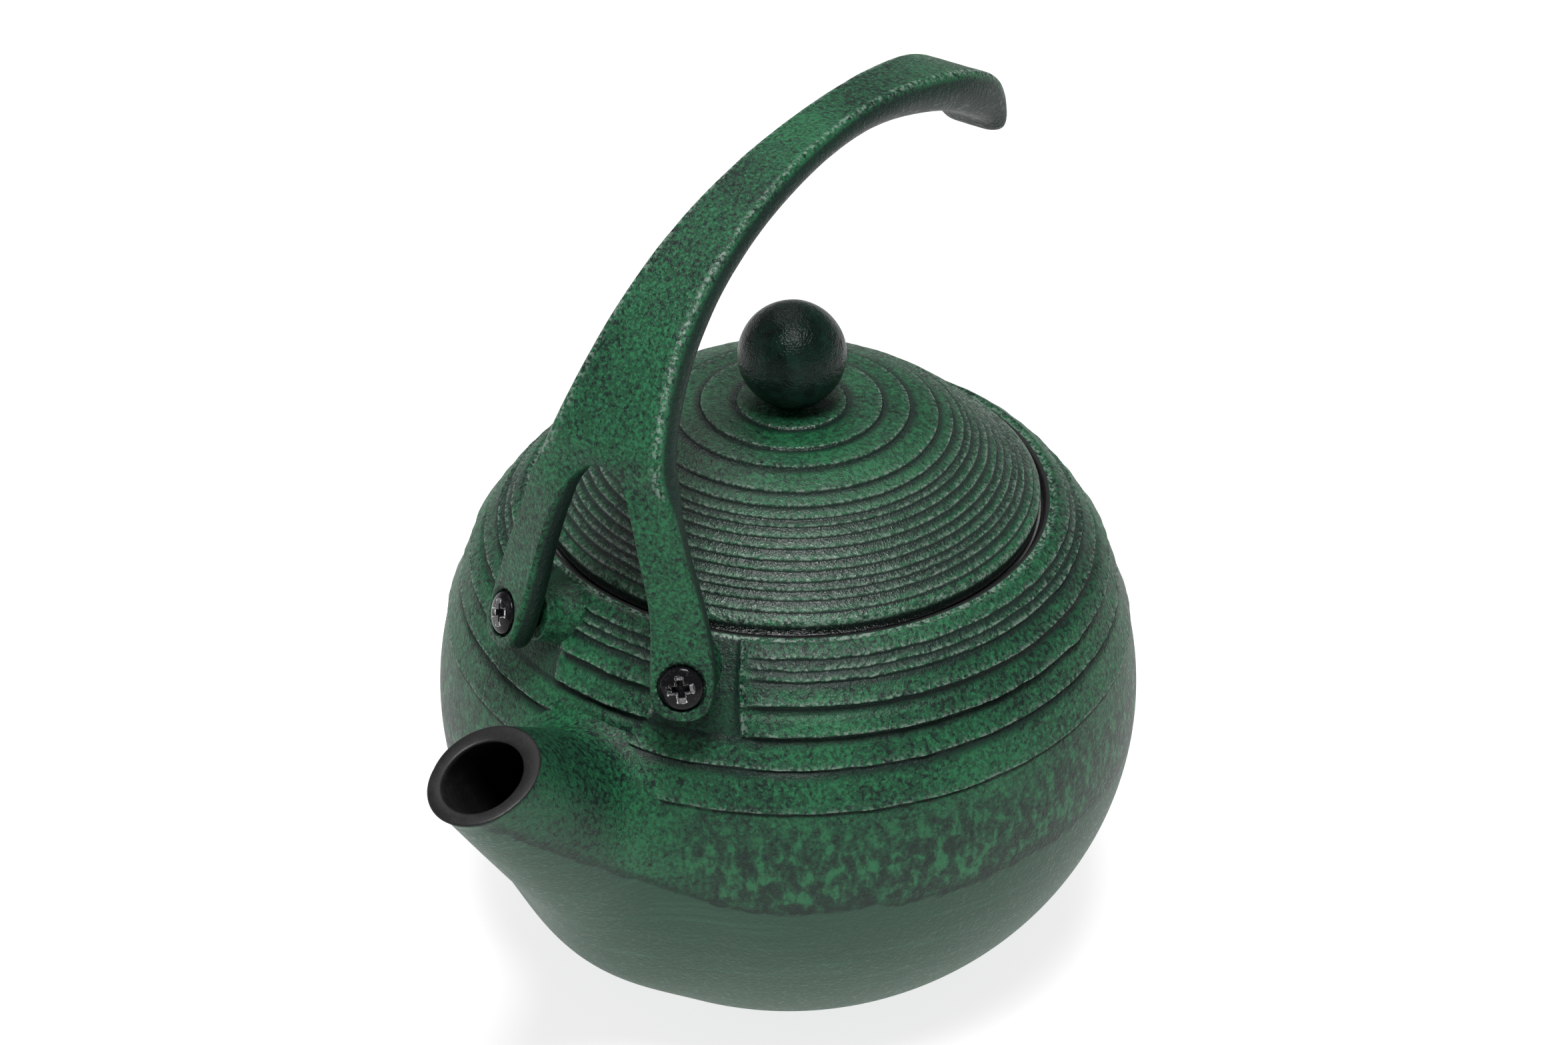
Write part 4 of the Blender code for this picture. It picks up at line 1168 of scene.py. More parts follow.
def outside_grid(skin, form):
    """The pot's outer wall, terraced, with an opening where the spout joins. Returns its rings."""
    pot = settings().pot
    edges = [(pot.rim_height - drop * MM, rise) for drop, rise in POT_TERRACES]
    top = pot.rim_height - 0.45 * MM
    patch_top = pot.rim_height - 14.2 * MM
    patch_low = 15.5 * MM
    rows = [list(row) for row in terrace_rows(edges, top, 62.0 * MM)]
    rows += [plain_row(z) for z in spaced(60.9 * MM, patch_low, 46)]
    inside = [i for i, row in enumerate(rows) if patch_low - 1e-6 <= row[0] <= patch_top]
    first_row = inside[0]
    extra = len(inside) - 1 - OUT_ROWS
    if extra:           # more or fewer plain rows, so the opening has its set number of rows
        plain = [row[0] for row in rows[first_row:] if row[0] < PLAIN_TOP]
        kept = spaced(plain[0], plain[-1], len(plain) - extra)
        rows = rows[:len(rows) - len(plain)] + [plain_row(z) for z in kept]
    last_row = first_row + OUT_ROWS
    rows += [plain_row(z) for z in spaced(patch_low, 0.7 * MM, 16)[1:]]
    all_heights = np.array([row[0] for row in rows])
    low_heights = np.clip(all_heights, patch_low, patch_top)
    least = patch_angles(form.bowl, form.tube, low_heights, 2.2 * MM, math.radians(7.5))
    grids, base, marks = [], [], []
    signed = np.concatenate([np.arange(HALF_COLUMNS + 1), -np.arange(1, HALF_COLUMNS)[::-1]])
    column = np.abs(signed)
    c1, c2, c3, c4 = PANEL_COLUMNS
    slab = np.interp(column, (0, c1, c2, c3, c4, HALF_COLUMNS), (1, 1, 0, 0, 1, 1))
    ringed = np.interp(column, (0, c1 - 2, c1, c4, c4 + 3, HALF_COLUMNS), (1, 1, 0, 0.0, 1, 1))
    # painted shade along the panels' feet beside each leg, and a painted highlight along the panels' edges
    foot_shade_line = np.interp(column, (0, c2 - 1, c2, c2 + 1, c3 - 1, c3, c3 + 1, HALF_COLUMNS),
                          (0, 0, 1, 0.2, 0.2, 1, 0, 0))
    edge_highlight_line = np.interp(column, (0, c1 - 1, c1, c2, c3, c4, c4 + 1, HALF_COLUMNS),
                          (0, 0, 1, 0, 0, 1, 0, 0))
    for i, (height, rise, lip, groove, ripple, terrace) in enumerate(rows):
        keys = [0.0, least[i]] + panel_angles(height, least[i]) + [math.pi]
        angles = full_angles([0, OUT_PATCH, *PANEL_COLUMNS, HALF_COLUMNS], keys)
        plain = ring_points(1.0, 0.0, angles)
        wander = noise_along(plain, 9.0, terrace + 3) + 0.6 * noise_along(plain, 31.0, terrace + 11)
        above_foot = terrace <= PANEL_FOOT
        heights = height + pot.ring_ripple * ripple * wander
        points = ring_points(form.bowl.at(heights), heights, angles)
        uneven = 1.0 + 0.35 * noise_along(plain, 17.0, terrace + 23)
        ring_share = rise * uneven * (ringed if above_foot else 1.0)
        slab_share = slab * float(above_foot and groove < 0.9 or terrace < PANEL_FOOT)
        grids.append(points)
        base.append((ring_share, slab_share))
        # painted highlight on the panel edges; painted shade at the panels' feet and in the recess beside
        # each leg, where the recess is partly dark patina
        if above_foot:
            lip = lip * ringed + edge_highlight_line
            groove = groove * ringed + 0.5 * foot_shade_line + 0.4 * (1 - slab)
        marks.append((lip, groove))
    sizes = [len(g) for g in grids]
    points = form.settle(np.vstack(grids))
    beside = form.tube.level(points)[0]
    fade = smoothstep(0.6 * MM, 3.6 * MM, beside)
    ring_share = np.concatenate([b[0] for b in base])
    slab_share = np.concatenate([b[1] for b in base])
    rise = fade * (ring_share * pot.ring_rise + slab_share * pot.slab_rise)
    points = points + rise[:, None] * form.level(points)[1]
    glaze = glaze_mark(points)
    rings, at = [], 0
    for number, (lip, groove) in zip(sizes, marks):
        part = slice(at, at + number)
        rings.append(skin.add(points[part], lip * fade[part], groove * fade[part], glaze[part]))
        at += number
    for i in range(len(rings) - 1):
        skip = opening(OUT_PATCH) if first_row <= i < last_row else None
        skin.bridge(rings[i], rings[i + 1], 0, skip)
    loop = [rings[row][column] for row, column in root_loop(OUT_PATCH, first_row, last_row)]
    return rings, np.array(loop)


def collect(skin):
    return np.vstack(skin.points)


def make_pot_shell():
    """The whole casting as one closed skin: outside, spout, lips, seat, inside and bore."""
    pot, spout = settings().pot, settings().spout
    skin = Skin()
    outer = Joined(Bowl(), Tube(spout.root_radius, spout.neck_radius, spout.mouth_radius, 14 * MM),
                   spout.fillet)
    rings, loop = outside_grid(skin, outer)
    upper = rings[0]
    angles = angles_of(collect(skin)[upper])

    foot = pot.foot_radius
    below = [(foot - 0.35 * MM, 0.12 * MM), (foot - 0.9 * MM, 0.0), (foot - 4.8 * MM, 0.0),
             (foot - 5.3 * MM, 0.12 * MM), (foot - 5.7 * MM, 0.5 * MM)]
    for i in range(14):
        radius = (foot - 6.2 * MM) * (1 - i / 14)
        below += [(radius, (0.62 + 0.1 * (i % 2)) * MM), (radius - 0.5 * MM, (0.66 - 0.1 * (i % 2)) * MM)]
    last = rings[-1]
    low_angles = angles_of(collect(skin)[last])
    for radius, height in below:
        ring = skin.add(ring_points(radius, height, low_angles), 0.0, 0.0, -3.0)
        skin.bridge(last, ring, 0)
        last = ring
    skin.close(last, (0, 0, 0.64 * MM), 0)

    seat, rim = pot.seat_radius, pot.rim_height
    ledge, mouth = pot.ledge_height, pot.mouth_radius
    collar = pot.collar_radius
    under = ledge - 3.0 * MM
    inner = Joined(Bowl(pot.wall), Tube(spout.root_bore, spout.root_bore, spout.bore_radius, 14 * MM),
                   3.0 * MM)
    wall_top = under - 3.5 * MM
    outline = [(collar + 0.16 * MM, rim - 0.25 * MM), (collar, rim - 0.1 * MM),
               (collar - 0.25 * MM, rim), (collar - 0.45 * MM, rim), (seat + 0.4 * MM, rim),
               (seat + 0.12 * MM, rim - 0.12 * MM),
               (seat, rim - 0.4 * MM), (seat, ledge + 0.25 * MM), (seat - 0.12 * MM, ledge + 0.04 * MM),
               (seat - 0.4 * MM, ledge), (mouth + 0.35 * MM, ledge), (mouth + 0.06 * MM, ledge - 0.1 * MM),
               (mouth, ledge - 0.4 * MM), (mouth, under)]
    previous = upper
    # the collar's outer top edge carries the lip mark: a painted highlight with worn paint
    for number, (radius, height) in enumerate(outline):
        previous = skin.follow(previous, ring_points(radius, height, angles), int(number > 3),
                               lip=float(number < 3), glaze=3.0)
    floor_fillet = pot.floor + pot.wall
    patch_top, patch_low = 66.0 * MM, 38.5 * MM
    heights = (spaced(wall_top, patch_top, 7) + spaced(patch_top, patch_low, IN_ROWS + 1)[1:]
               + spaced(patch_low, floor_fillet, 18)[1:])
    first_row = 6
    last_row = first_row + IN_ROWS
    clipped = np.clip(heights, patch_low, patch_top)
    least = patch_angles(inner.bowl, inner.tube, clipped, 1.2 * MM, math.radians(5))
    grids = []
    for i, height in enumerate(heights):
        keys = full_angles([0, IN_PATCH, HALF_COLUMNS], [0.0, least[i], math.pi])
        part = smoothstep(0.0, 5.0, float(i))
        grids.append(ring_points(inner.bowl.at(height), height, keys * part + angles * (1 - part)))
    points = inner.settle(np.vstack(grids))
    inner_rings = [skin.add(points[i * len(angles):(i + 1) * len(angles)]) for i in range(len(heights))]
    for i, ring in enumerate(inner_rings):
        skip = opening(IN_PATCH) if first_row < i <= last_row else None
        skin.bridge(ring, previous, 1, skip)
        previous = ring
    floor_radius = float(inner.bowl.at(floor_fillet)) - pot.wall
    last_angles = angles_of(points[-len(angles):])
    for radius, height in ((floor_radius + 0.9 * MM, pot.floor + 0.9 * MM),
                           (floor_radius, pot.floor + 0.25 * MM),
                           (floor_radius - 3 * MM, pot.floor), (floor_radius * 0.5, pot.floor)):
        previous = skin.follow(previous, ring_points(radius, height, last_angles), 1)
    skin.close(previous[::-1], (0, 0, pot.floor), 1)

    everything = collect(skin)
    out_rings = spout_rings(outer, everything[loop], 0.34, 42, 46)
    inner_loop = np.array([inner_rings[row][column]
                           for row, column in root_loop(IN_PATCH, first_row, last_row)])
    in_rings = spout_rings(inner, everything[inner_loop], 0.3, 14, 26)
    previous = loop
    for points in out_rings:
        # painted shade, darker along the spout towards its mouth
        shaded = 0.32 * smoothstep(58 * MM, 74 * MM, -points[:, 1])
        previous = skin.follow(previous, points, 0, groove=shaded, glaze=glaze_mark(points))
    facing = np.array(tilted(spout.mouth_tilt))
    for part, lift in ((0.07, 0.15), (0.18, 0.24), (0.5, 0.28), (0.82, 0.24), (0.93, 0.15), (1.0, 0.0)):
        points = out_rings[-1] * (1 - part) + in_rings[-1] * part + facing * lift * MM
        previous = skin.follow(previous, points, 1)
    for points in in_rings[-2::-1]:
        previous = skin.follow(previous, points, 1)
    skin.bridge(inner_loop, previous, 1)
    return skin.build("pot_shell", ("pot_green", "black_enamel"))


def splayed(side, splay_share, lift_share):
    """Unit vector turned out and up by shares of the screws' splay and lift. side is 1 or -1."""
    handle = settings().handle
    splay = handle.screw_splay * splay_share
    lift = handle.screw_lift * lift_share
    return Vector((side * math.sin(splay) * math.cos(lift), -math.cos(splay) * math.cos(lift),
                   math.sin(lift)))


def screw_axis(side):
    """Unit vector along a handle screw, pointing out of its head."""
    return splayed(side, 1.0, 1.0)


def wall_point(side):
    """Where a screw's axis leaves the pot's wall."""
    handle, pot = settings().handle, settings().pot
    axis = screw_axis(side)
    reach = handle.lug_standoff + handle.leg_thickness
    across = side * (handle.screw_spread - abs(axis.x) * reach)
    height = pot.rim_height - handle.screw_below_rim - axis.z * reach
    radius = float(Bowl().at(height))
    return Vector((across, -math.sqrt(radius ** 2 - across ** 2), height))


def lug_face(side):
    return wall_point(side) + screw_axis(side) * settings().handle.lug_standoff


def leg_front(side):
    handle = settings().handle
    return lug_face(side) + screw_axis(side) * (handle.touch_gap + handle.leg_thickness)


def facing_place(axis, spot):
    return Matrix.Translation(spot) @ axis.to_track_quat("Z", "Y").to_matrix().to_4x4()


def joined(name, pieces):
    """Joins pieces into one mesh object. Their finishes and marks stay."""
    work = bmesh.new()
    finishes = []
    for piece in pieces:
        first = len(work.faces)
        work.from_mesh(piece.data)
        work.faces.ensure_lookup_table()
        for face in work.faces[first:]:
            wanted = piece.data.materials[face.material_index]
            if wanted not in finishes:
                finishes.append(wanted)
            face.material_index = finishes.index(wanted)
    mesh = bpy.data.meshes.new(name)
    work.to_mesh(mesh)
    work.free()
    for wanted in finishes:
        mesh.materials.append(wanted)
    for piece in pieces:
        bpy.data.objects.remove(piece)
    return link(bpy.data.objects.new(name, mesh))


def make_lugs():
    """The two lugs on the pot's shoulder that the legs are screwed to, with their holes."""
    handle, screws = settings().handle, settings().screws
    reach = handle.lug_standoff
    radius = handle.lug_radius
    hole = screws.shank_radius + HOLE_GAP
    depth = screws.bite + HOLE_GAP
    outline = [(0.0, -2.6 * MM), (radius + 1.0 * MM, -2.6 * MM), (radius + 0.9 * MM, -0.9 * MM),
               (radius + 0.4 * MM, 0.5 * MM), (radius - 0.2 * MM, 2.2 * MM),
               (radius - 0.3 * MM, reach), (hole, reach), (hole, reach - depth), (0.0, reach - depth)]
    smooth = rounded(outline, 0.45 * MM, 4)
    pieces = []
    for side, word in ((-1, "left"), (1, "right")):
        lug = turned("lug_" + word, smooth, 72, "pot_green")
        store(lug.data, "glaze", [3.0] * len(lug.data.vertices))
        lug.data.transform(facing_place(screw_axis(side), wall_point(side)))
        pieces.append(lug)
    return joined("pot_lugs", pieces)


# ---- handle ---------------------------------------------------------------------------

ARCH_COLUMNS = (-1.0, -0.31, 0.0, 0.31, 1.0)
LEG_COLUMNS = (-1.0, 1.0)
FRONT_CREASE = 0.78
BACK_CREASE = 0.2
CROTCH_CREASE = 0.35


class Arch:
    """Where the handle's cross-sections lie."""

    def __init__(self):
        self.size = settings().handle
        self.foot = leg_front(1)
        self.span = -self.foot.y + self.size.arch_top_back
        self.climb = self.size.top_height - self.foot.z

    def front(self, back_share, climb_share):
        return Vector((0, self.foot.y + back_share * self.span,
                       self.foot.z + climb_share * self.climb))

    def tail(self, back_share, drop_share):
        size = self.size
        back = size.arch_top_back + back_share * (size.tail_reach - size.arch_top_back)
        return Vector((0, back, size.top_height - drop_share * size.tail_drop))

    def stations(self):
        """(outer face centre, half width, thickness) from the fork to the tail's tip."""
        size = self.size
        thin, slim, broad = size.arch_thickness, size.arch_half_width, size.tail_half_width
        leg = size.leg_thickness
        fork = size.leg_half_width * 2.6
        front, tail = self.front, self.tail
        return [
            (front(0.058, 0.452), fork, leg + 0.2 * MM),
            (front(0.062, 0.503), fork * 0.91, leg + 0.3 * MM),
            (front(0.103, 0.590), slim * 1.98, leg + 0.3 * MM),
            (front(0.205, 0.735), slim * 1.57, thin + 0.8 * MM),
            (front(0.370, 0.862), slim * 1.32, thin + 0.4 * MM),
            (front(0.580, 0.947), slim * 1.15, thin),
            (front(0.810, 0.991), slim * 1.02, thin),
            (front(1.0, 1.0), slim, thin),
            (tail(0.26, 0.030), slim * 1.1, thin + 1.0 * MM),
            (tail(0.52, 0.12), broad * 0.90, thin + 2.0 * MM),
            (tail(0.70, 0.22), broad, thin + 2.8 * MM),
            (tail(0.865, 0.38), broad, thin + 3.4 * MM),
            (tail(0.965, 0.60), broad * 0.97, thin + 2.2 * MM),
            (tail(1.0, 0.82), broad * 0.93, thin + 0.2 * MM),
            (tail(1.0, 1.0), broad * 0.80, thin - 1.8 * MM),
        ]

    def leg(self, side):
        """(outer face centre, facing, half width, thickness) down one leg, round to its eye."""
        foot = leg_front(side)
        axis = screw_axis(side)
        down = (Vector((0, 0, -1)) + axis * axis.z).normalized()
        thick = self.size.leg_thickness
        full = self.size.leg_half_width

        def place(across_share, back, up_share):
            return Vector((foot.x * across_share, foot.y + back * MM, foot.z + up_share * self.climb))

        return [
            (place(0.56, 3.3, 0.405), splayed(side, 0.45, 0.25), full * 0.76, thick),
            (place(0.64, 2.8, 0.342), splayed(side, 0.66, 0.20), full * 0.74, thick),
            (place(0.74, 2.4, 0.265), splayed(side, 0.76, 0.15), full * 0.76, thick),
            (place(0.84, 2.2, 0.185), splayed(side, 0.80, 0.20), full * 0.82, thick),
            (place(0.92, 1.7, 0.105), splayed(side, 0.85, 0.50), full * 0.91, thick),
            (foot - down * full * 0.35, axis, full, thick),
            (foot + down * full * 0.62, axis, full * 0.97, thick),
            (foot + down * full * 1.12, axis, full * 0.58, thick),
        ]


class Cage:
    """The handle's coarse cage: cross-sections, the faces between them and their creases."""

    def __init__(self):
        self.work = bmesh.new()
        self.lip = self.work.verts.layers.float.new("lip")
        self.groove = self.work.verts.layers.float.new("groove")
        self.creases = []

    def section(self, centre, facing, across, half_width, thickness, columns):
        """The front row, the two flared side points and the back row of one cross-section."""
        size = settings().handle
        new = self.work.verts.new
        arch = columns == ARCH_COLUMNS
        inset = size.face_inset if arch else 0.0
        front = [new(centre + across * (half_width - inset) * c) for c in columns]
        middle = centre - facing * thickness * 0.5
        sides = [new(middle + across * (half_width + size.side_flare) * s) for s in (-1, 1)]
        behind = centre - facing * thickness
        back = [new(behind + across * (half_width - size.back_inset) * c) for c in columns]
        # a painted highlight line along the arch's front edges, and painted shade on the side and back
        # faces
        for vert in (front[0], front[-1]):
            vert[self.lip] = float(arch)
        for vert in sides + back:
            vert[self.groove] = 1.0
        return front, sides, back

    def bridge(self, upper, lower):
        rows = [ring[0] + [ring[1][1]] + ring[2][::-1] + [ring[1][0]] for ring in (upper, lower)]
        number = len(rows[0])
        for i in range(number):
            j = (i + 1) % number
            self.work.faces.new((rows[0][i], rows[0][j], rows[1][j], rows[1][i]))
        for end in (0, -1):
            self.creases.append((upper[0][end], lower[0][end], FRONT_CREASE))
            self.creases.append((upper[2][end], lower[2][end], BACK_CREASE))

    def close_row(self, front, middle, back):
        for i in range(len(front) - 1):
            self.work.faces.new((front[i], front[i + 1], middle[i + 1], middle[i]))
            self.work.faces.new((middle[i], middle[i + 1], back[i + 1], back[i]))

    def cap(self, ring):
        front, sides, back = ring
        inner = [self.work.verts.new((a.co + b.co) / 2) for a, b in zip(front[1:-1], back[1:-1])]
        self.close_row(front, [sides[0]] + inner + [sides[1]], back)
        for first, second in zip(front[:-1], front[1:]):
            self.creases.append((first, second, FRONT_CREASE))

    def build(self):
        arch = Arch()
        across = Vector((1, 0, 0))
        stations = arch.stations()
        centres = [s[0] for s in stations]
        rings = []
        for i, (centre, half_width, thickness) in enumerate(stations):
            along = centres[min(i + 1, len(centres) - 1)] - centres[max(i - 1, 0)]
            facing = across.cross(along.normalized())
            rings.append(self.section(centre, facing, across, half_width, thickness, ARCH_COLUMNS))
        for lower, upper in zip(rings[:-1], rings[1:]):
            self.bridge(upper, lower)
        self.cap(rings[-1])
        front, sides, back = rings[0]
        for vert in (front[2], back[2]):
            vert.co.z += settings().handle.crotch_rise
        web = [self.work.verts.new((front[i].co + back[i].co) / 2) for i in (1, 2, 3)]
        self.close_row(front[1:4], web, back[1:4])
        for first, second in ((1, 2), (2, 3)):
            self.creases.append((front[first], front[second], CROTCH_CREASE))
        starts = {-1: (front[0:2], [sides[0], web[0]], back[0:2]),
                  1: (front[3:5], [web[2], sides[1]], back[3:5])}
        for side, ring in starts.items():
            for centre, facing, half_width, thickness in arch.leg(side):
                level = Vector((0, 0, 1)).cross(facing).normalized()
                lower = self.section(centre, facing, level, half_width, thickness, LEG_COLUMNS)
                self.bridge(ring, lower)
                ring = lower
            self.cap(ring)
        bmesh.ops.recalc_face_normals(self.work, faces=self.work.faces)
        layer = self.work.edges.layers.float.new("crease_edge")
        for first, second, sharpness in self.creases:
            self.work.edges.get((first, second))[layer] = sharpness
        mesh = bpy.data.meshes.new("handle_cage")
        self.work.to_mesh(mesh)
        self.work.free()
        return mesh


def cutter(name, outline, axis, spot, steps=64):
    """A turned closed piece that will be cut away, placed along an axis."""
    made = turned(name, outline, steps, "handle_green")
    made.data.transform(facing_place(axis, spot))
    return made


def make_handle():
    """The forked handle from a coarse cage, with a stepped seat and a hole for each screw."""
    size, screws = settings().handle, settings().screws
    cage = link(bpy.data.objects.new("handle_cage", Cage().build()))
    cage.data.materials.append(finish("handle_green"))
    rounding = cage.modifiers.new("rounding", "SUBSURF")
    rounding.levels = 3
    rounding.render_levels = 3
    body = baked(cage, "handle_body")
    seat = screws.head_radius + screws.head_gap
    hole = screws.shank_radius + HOLE_GAP
    tools = []
    for side, word in ((-1, "left"), (1, "right")):
        outline = [(0.0, 3 * MM), (seat + 0.9 * MM, 3 * MM), (seat + 0.55 * MM, 0.12 * MM),
                   (seat + 0.12 * MM, -0.12 * MM), (seat, -0.4 * MM), (seat, -screws.head_recess),
                   (hole, -screws.head_recess), (hole, -size.leg_thickness - 3 * MM),
                   (0.0, -size.leg_thickness - 3 * MM)]
        tools.append(cutter("seat_cut_" + word, outline, screw_axis(side), leg_front(side)))
        cut(body, tools[-1])
    made = baked(body, "handle_casting")
    for tool in tools:
        bpy.data.objects.remove(tool)
    mesh = made.data
    place, normal = vectors(mesh), vectors(mesh, "normal")
    uneven = noise_along(place, 420.0, 5) * 0.035 * MM + noise_along(place, 150.0, 8) * 0.05 * MM
    clear = np.ones(len(place))
    for side in (-1, 1):
        axis, spot = np.array(screw_axis(side)), np.array(leg_front(side))
        away = place - spot
        across = np.linalg.norm(away - (away @ axis)[:, None] * axis, axis=1)
        clear *= smoothstep(seat, seat + 1.5 * MM, across)
    place = place + normal * (uneven * clear)[:, None]
    mesh.vertices.foreach_set("co", place.ravel())
    # narrows the lip mark to a painted highlight line along the front edges and sharpens where the painted
    # shade on the sides begins
    for name, low, high in (("lip", 0.74, 1.0), ("groove", 0.1, 0.6)):
        values = np.zeros(len(place), np.float32)
        mesh.attributes[name].data.foreach_get("value", values)
        mesh.attributes[name].data.foreach_set("value", smoothstep(low, high, values))
    edged(made, 40)
    mesh.update()
    return made


# ---- handle screws ----------------------------------------------------------------------

def make_screws():
    """A cross-recess screw with a ringed thread, copied to both lugs."""
    size, handle = settings().screws, settings().handle
    shank = handle.leg_thickness - size.head_recess + handle.touch_gap + size.bite
    crown = [(size.head_radius * math.sin(a), size.head_edge + size.head_crown * math.cos(a))
             for a in spaced(0.0, math.pi / 2, 12)]
    crown[0] = (0.0, size.head_edge + size.head_crown)
    outline = crown + [(size.head_radius, 0.15 * MM), (size.head_radius - 0.15 * MM, 0.0),
                       (size.shank_radius - 0.1 * MM, 0.0),
                       (size.shank_radius - 0.1 * MM, -1.2 * MM)]
    root = size.shank_radius * THREAD_ROOT
    turns = int((shank - 1.8 * MM) / size.pitch)
    for i in range(turns):
        top = -1.3 * MM - i * size.pitch
        outline += [(size.shank_radius, top - 0.10 * MM), (size.shank_radius, top - 0.18 * MM),
                    (root, top - size.pitch * 0.62), (root, top - size.pitch * 0.72)]
    outline += [(root, -shank + 0.3 * MM), (root - 0.3 * MM, -shank), (0.0, -shank)]
    screw = turned("screw_pattern", outline, 64, "screw_black")
    cross = bmesh.new()
    wing = size.cross_width / 2
    crown = size.head_edge + size.head_crown
    cuts = ((0.5 * MM, size.cross_depth, 1.0, 0.42, 1.0), (0.05 * MM, 0.5 * MM, 1.16, 0.9, 1.5))
    for (over, under, reach_high, reach_low, wide), turn in [(c, t) for c in cuts
                                                             for t in (0.0, math.pi / 2)]:
        top, low = crown + over, crown - under
        upper, lower = size.cross_radius * reach_high, size.cross_radius * reach_low
        far = wing * wide
        spots = [(upper, far, top), (-upper, far, top), (-upper, -far, top), (upper, -far, top),
                 (lower, wing * 0.7, low), (-lower, wing * 0.7, low), (-lower, -wing * 0.7, low),
                 (lower, -wing * 0.7, low)]
        verts = [cross.verts.new(Matrix.Rotation(turn, 3, "Z") @ Vector(s)) for s in spots]
        for face in ((0, 1, 2, 3), (7, 6, 5, 4), (0, 4, 5, 1), (1, 5, 6, 2), (2, 6, 7, 3), (3, 7, 4, 0)):
            cross.faces.new([verts[i] for i in face])
    bmesh.ops.recalc_face_normals(cross, faces=cross.faces)
    mesh = bpy.data.meshes.new("cross_cut")
    cross.to_mesh(mesh)
    cross.free()
    mesh.materials.append(finish("screw_black"))
    tool = link(bpy.data.objects.new("cross_cut", mesh))
    cut(screw, tool, own_overlap=True)
    pattern = baked(screw, "screw_copy")
    bpy.data.objects.remove(tool)
    edged(pattern, 35)
    place = vectors(pattern.data)
    arm = np.minimum(np.abs(place[:, 0]), np.abs(place[:, 1])) < wing * 1.55
    reached = np.hypot(place[:, 0], place[:, 1]) < size.cross_radius * 1.2
    store(pattern.data, "worn", arm & reached & (place[:, 2] > crown - 0.6 * MM))

    seats, facings = [], []
    for side, spin in ((-1, 0.5), (1, 0.18)):
        axis = screw_axis(side)
        seats.append(leg_front(side) - axis * (size.head_recess - handle.touch_gap))
        spun = axis.to_track_quat("Z", "Y").to_matrix() @ Matrix.Rotation(spin, 3, "Z")
        facings.append(tuple(spun.to_euler()))
    mesh = bpy.data.meshes.new("screw_places")
    mesh.from_pydata([tuple(s) for s in seats], [], [])
    layer = mesh.attributes.new("turn", "FLOAT_VECTOR", "POINT")
    for item, value in zip(layer.data, facings):
        item.vector = value
    places = link(bpy.data.objects.new("screw_places", mesh))
    shaped(places, placed_tree, {"Piece": pattern, "Material": finish("screw_black")})
    made = baked(places, "leg_screws")
    bpy.data.objects.remove(pattern)
    return made


# ---- lid and knob -------------------------------------------------------------------------

LID_TERRACES = (9.2, 15.3, 19.9, 24.75, 27.25, 29.1, 30.3, 31.8, 33.3, 34.8, 36.1, 37.5, 38.6,
                39.8, 41.35)


def lid_height(radius):
    """Height of the dome's outer face above the base."""
    lid = settings().lid
    part = (radius / lid.radius) ** 2
    full = 1 + lid.shoulder * part + lid.flare * part * part
    return lid.seat_height + lid.rim + lid.rise * (1 - part) * full


def make_lid():
    """The terraced lid with its upright edge, skirt and hollow underside."""
    lid = settings().lid
    hole = hole_edge()
    edges = [(r * MM, 0.55 if r < 10 else 0.8 if r < 28 else 0.62) for r in LID_TERRACES]
    rows = terrace_rows(edges, hole + 0.8 * MM, lid.radius - 0.9 * MM)
    profile = []
    for radius, rise, lip, groove, ripple, ring in rows:
        slope = (lid_height(radius + 0.1 * MM) - lid_height(radius - 0.1 * MM)) / (0.2 * MM)
        size = math.hypot(1.0, slope)
        out = rise * lid.ring_rise
        profile.append((radius - slope / size * out, lid_height(radius) + out / size, lip, groove,
                        ripple, float(ring)))
    seat = lid.seat_height
    edge = seat + lid.rim
    skirt = lid.skirt_radius
    inside = skirt - lid.skirt_wall
    # painted highlight, with worn paint, on the rim's top edge, and painted shade down its upright edge
    rim = [(lid.radius - 0.45 * MM, lid_height(lid.radius - 0.45 * MM) + 0.02 * MM, 0.5),
           (lid.radius - 0.12 * MM, edge - 0.06 * MM, 0.8), (lid.radius, edge - 0.35 * MM, 0.5, 0.3),
           (lid.radius - 0.05 * MM, edge - 0.8 * MM, 0.0, 1.0),
           (lid.radius - 0.1 * MM, seat + 0.35 * MM, 0.0, 1.0),
           (lid.radius - 0.3 * MM, seat + 0.06 * MM, 0.0, 1.0), (lid.radius - 0.6 * MM, seat)]
    under = rounded([(lid.radius - 0.7 * MM, seat), (skirt, seat), (skirt, seat - lid.skirt_depth),
                     (inside, seat - lid.skirt_depth), (inside, lid_height(inside) - lid.wall)],
                    0.5 * MM, 4)[1:-1]
    ceiling = [(r, lid_height(r) - lid.wall) for r in spaced(inside - 0.6 * MM, hole, 22)]
    start = [(hole, lid_height(hole) - 0.2 * MM), (hole + 0.25 * MM, lid_height(hole) + 0.02 * MM)]
    return turned("lid_casting", start + profile + rim + under + ceiling, lid.steps, "lid_green",
                  lid.ring_ripple, 7.0, closed=True)


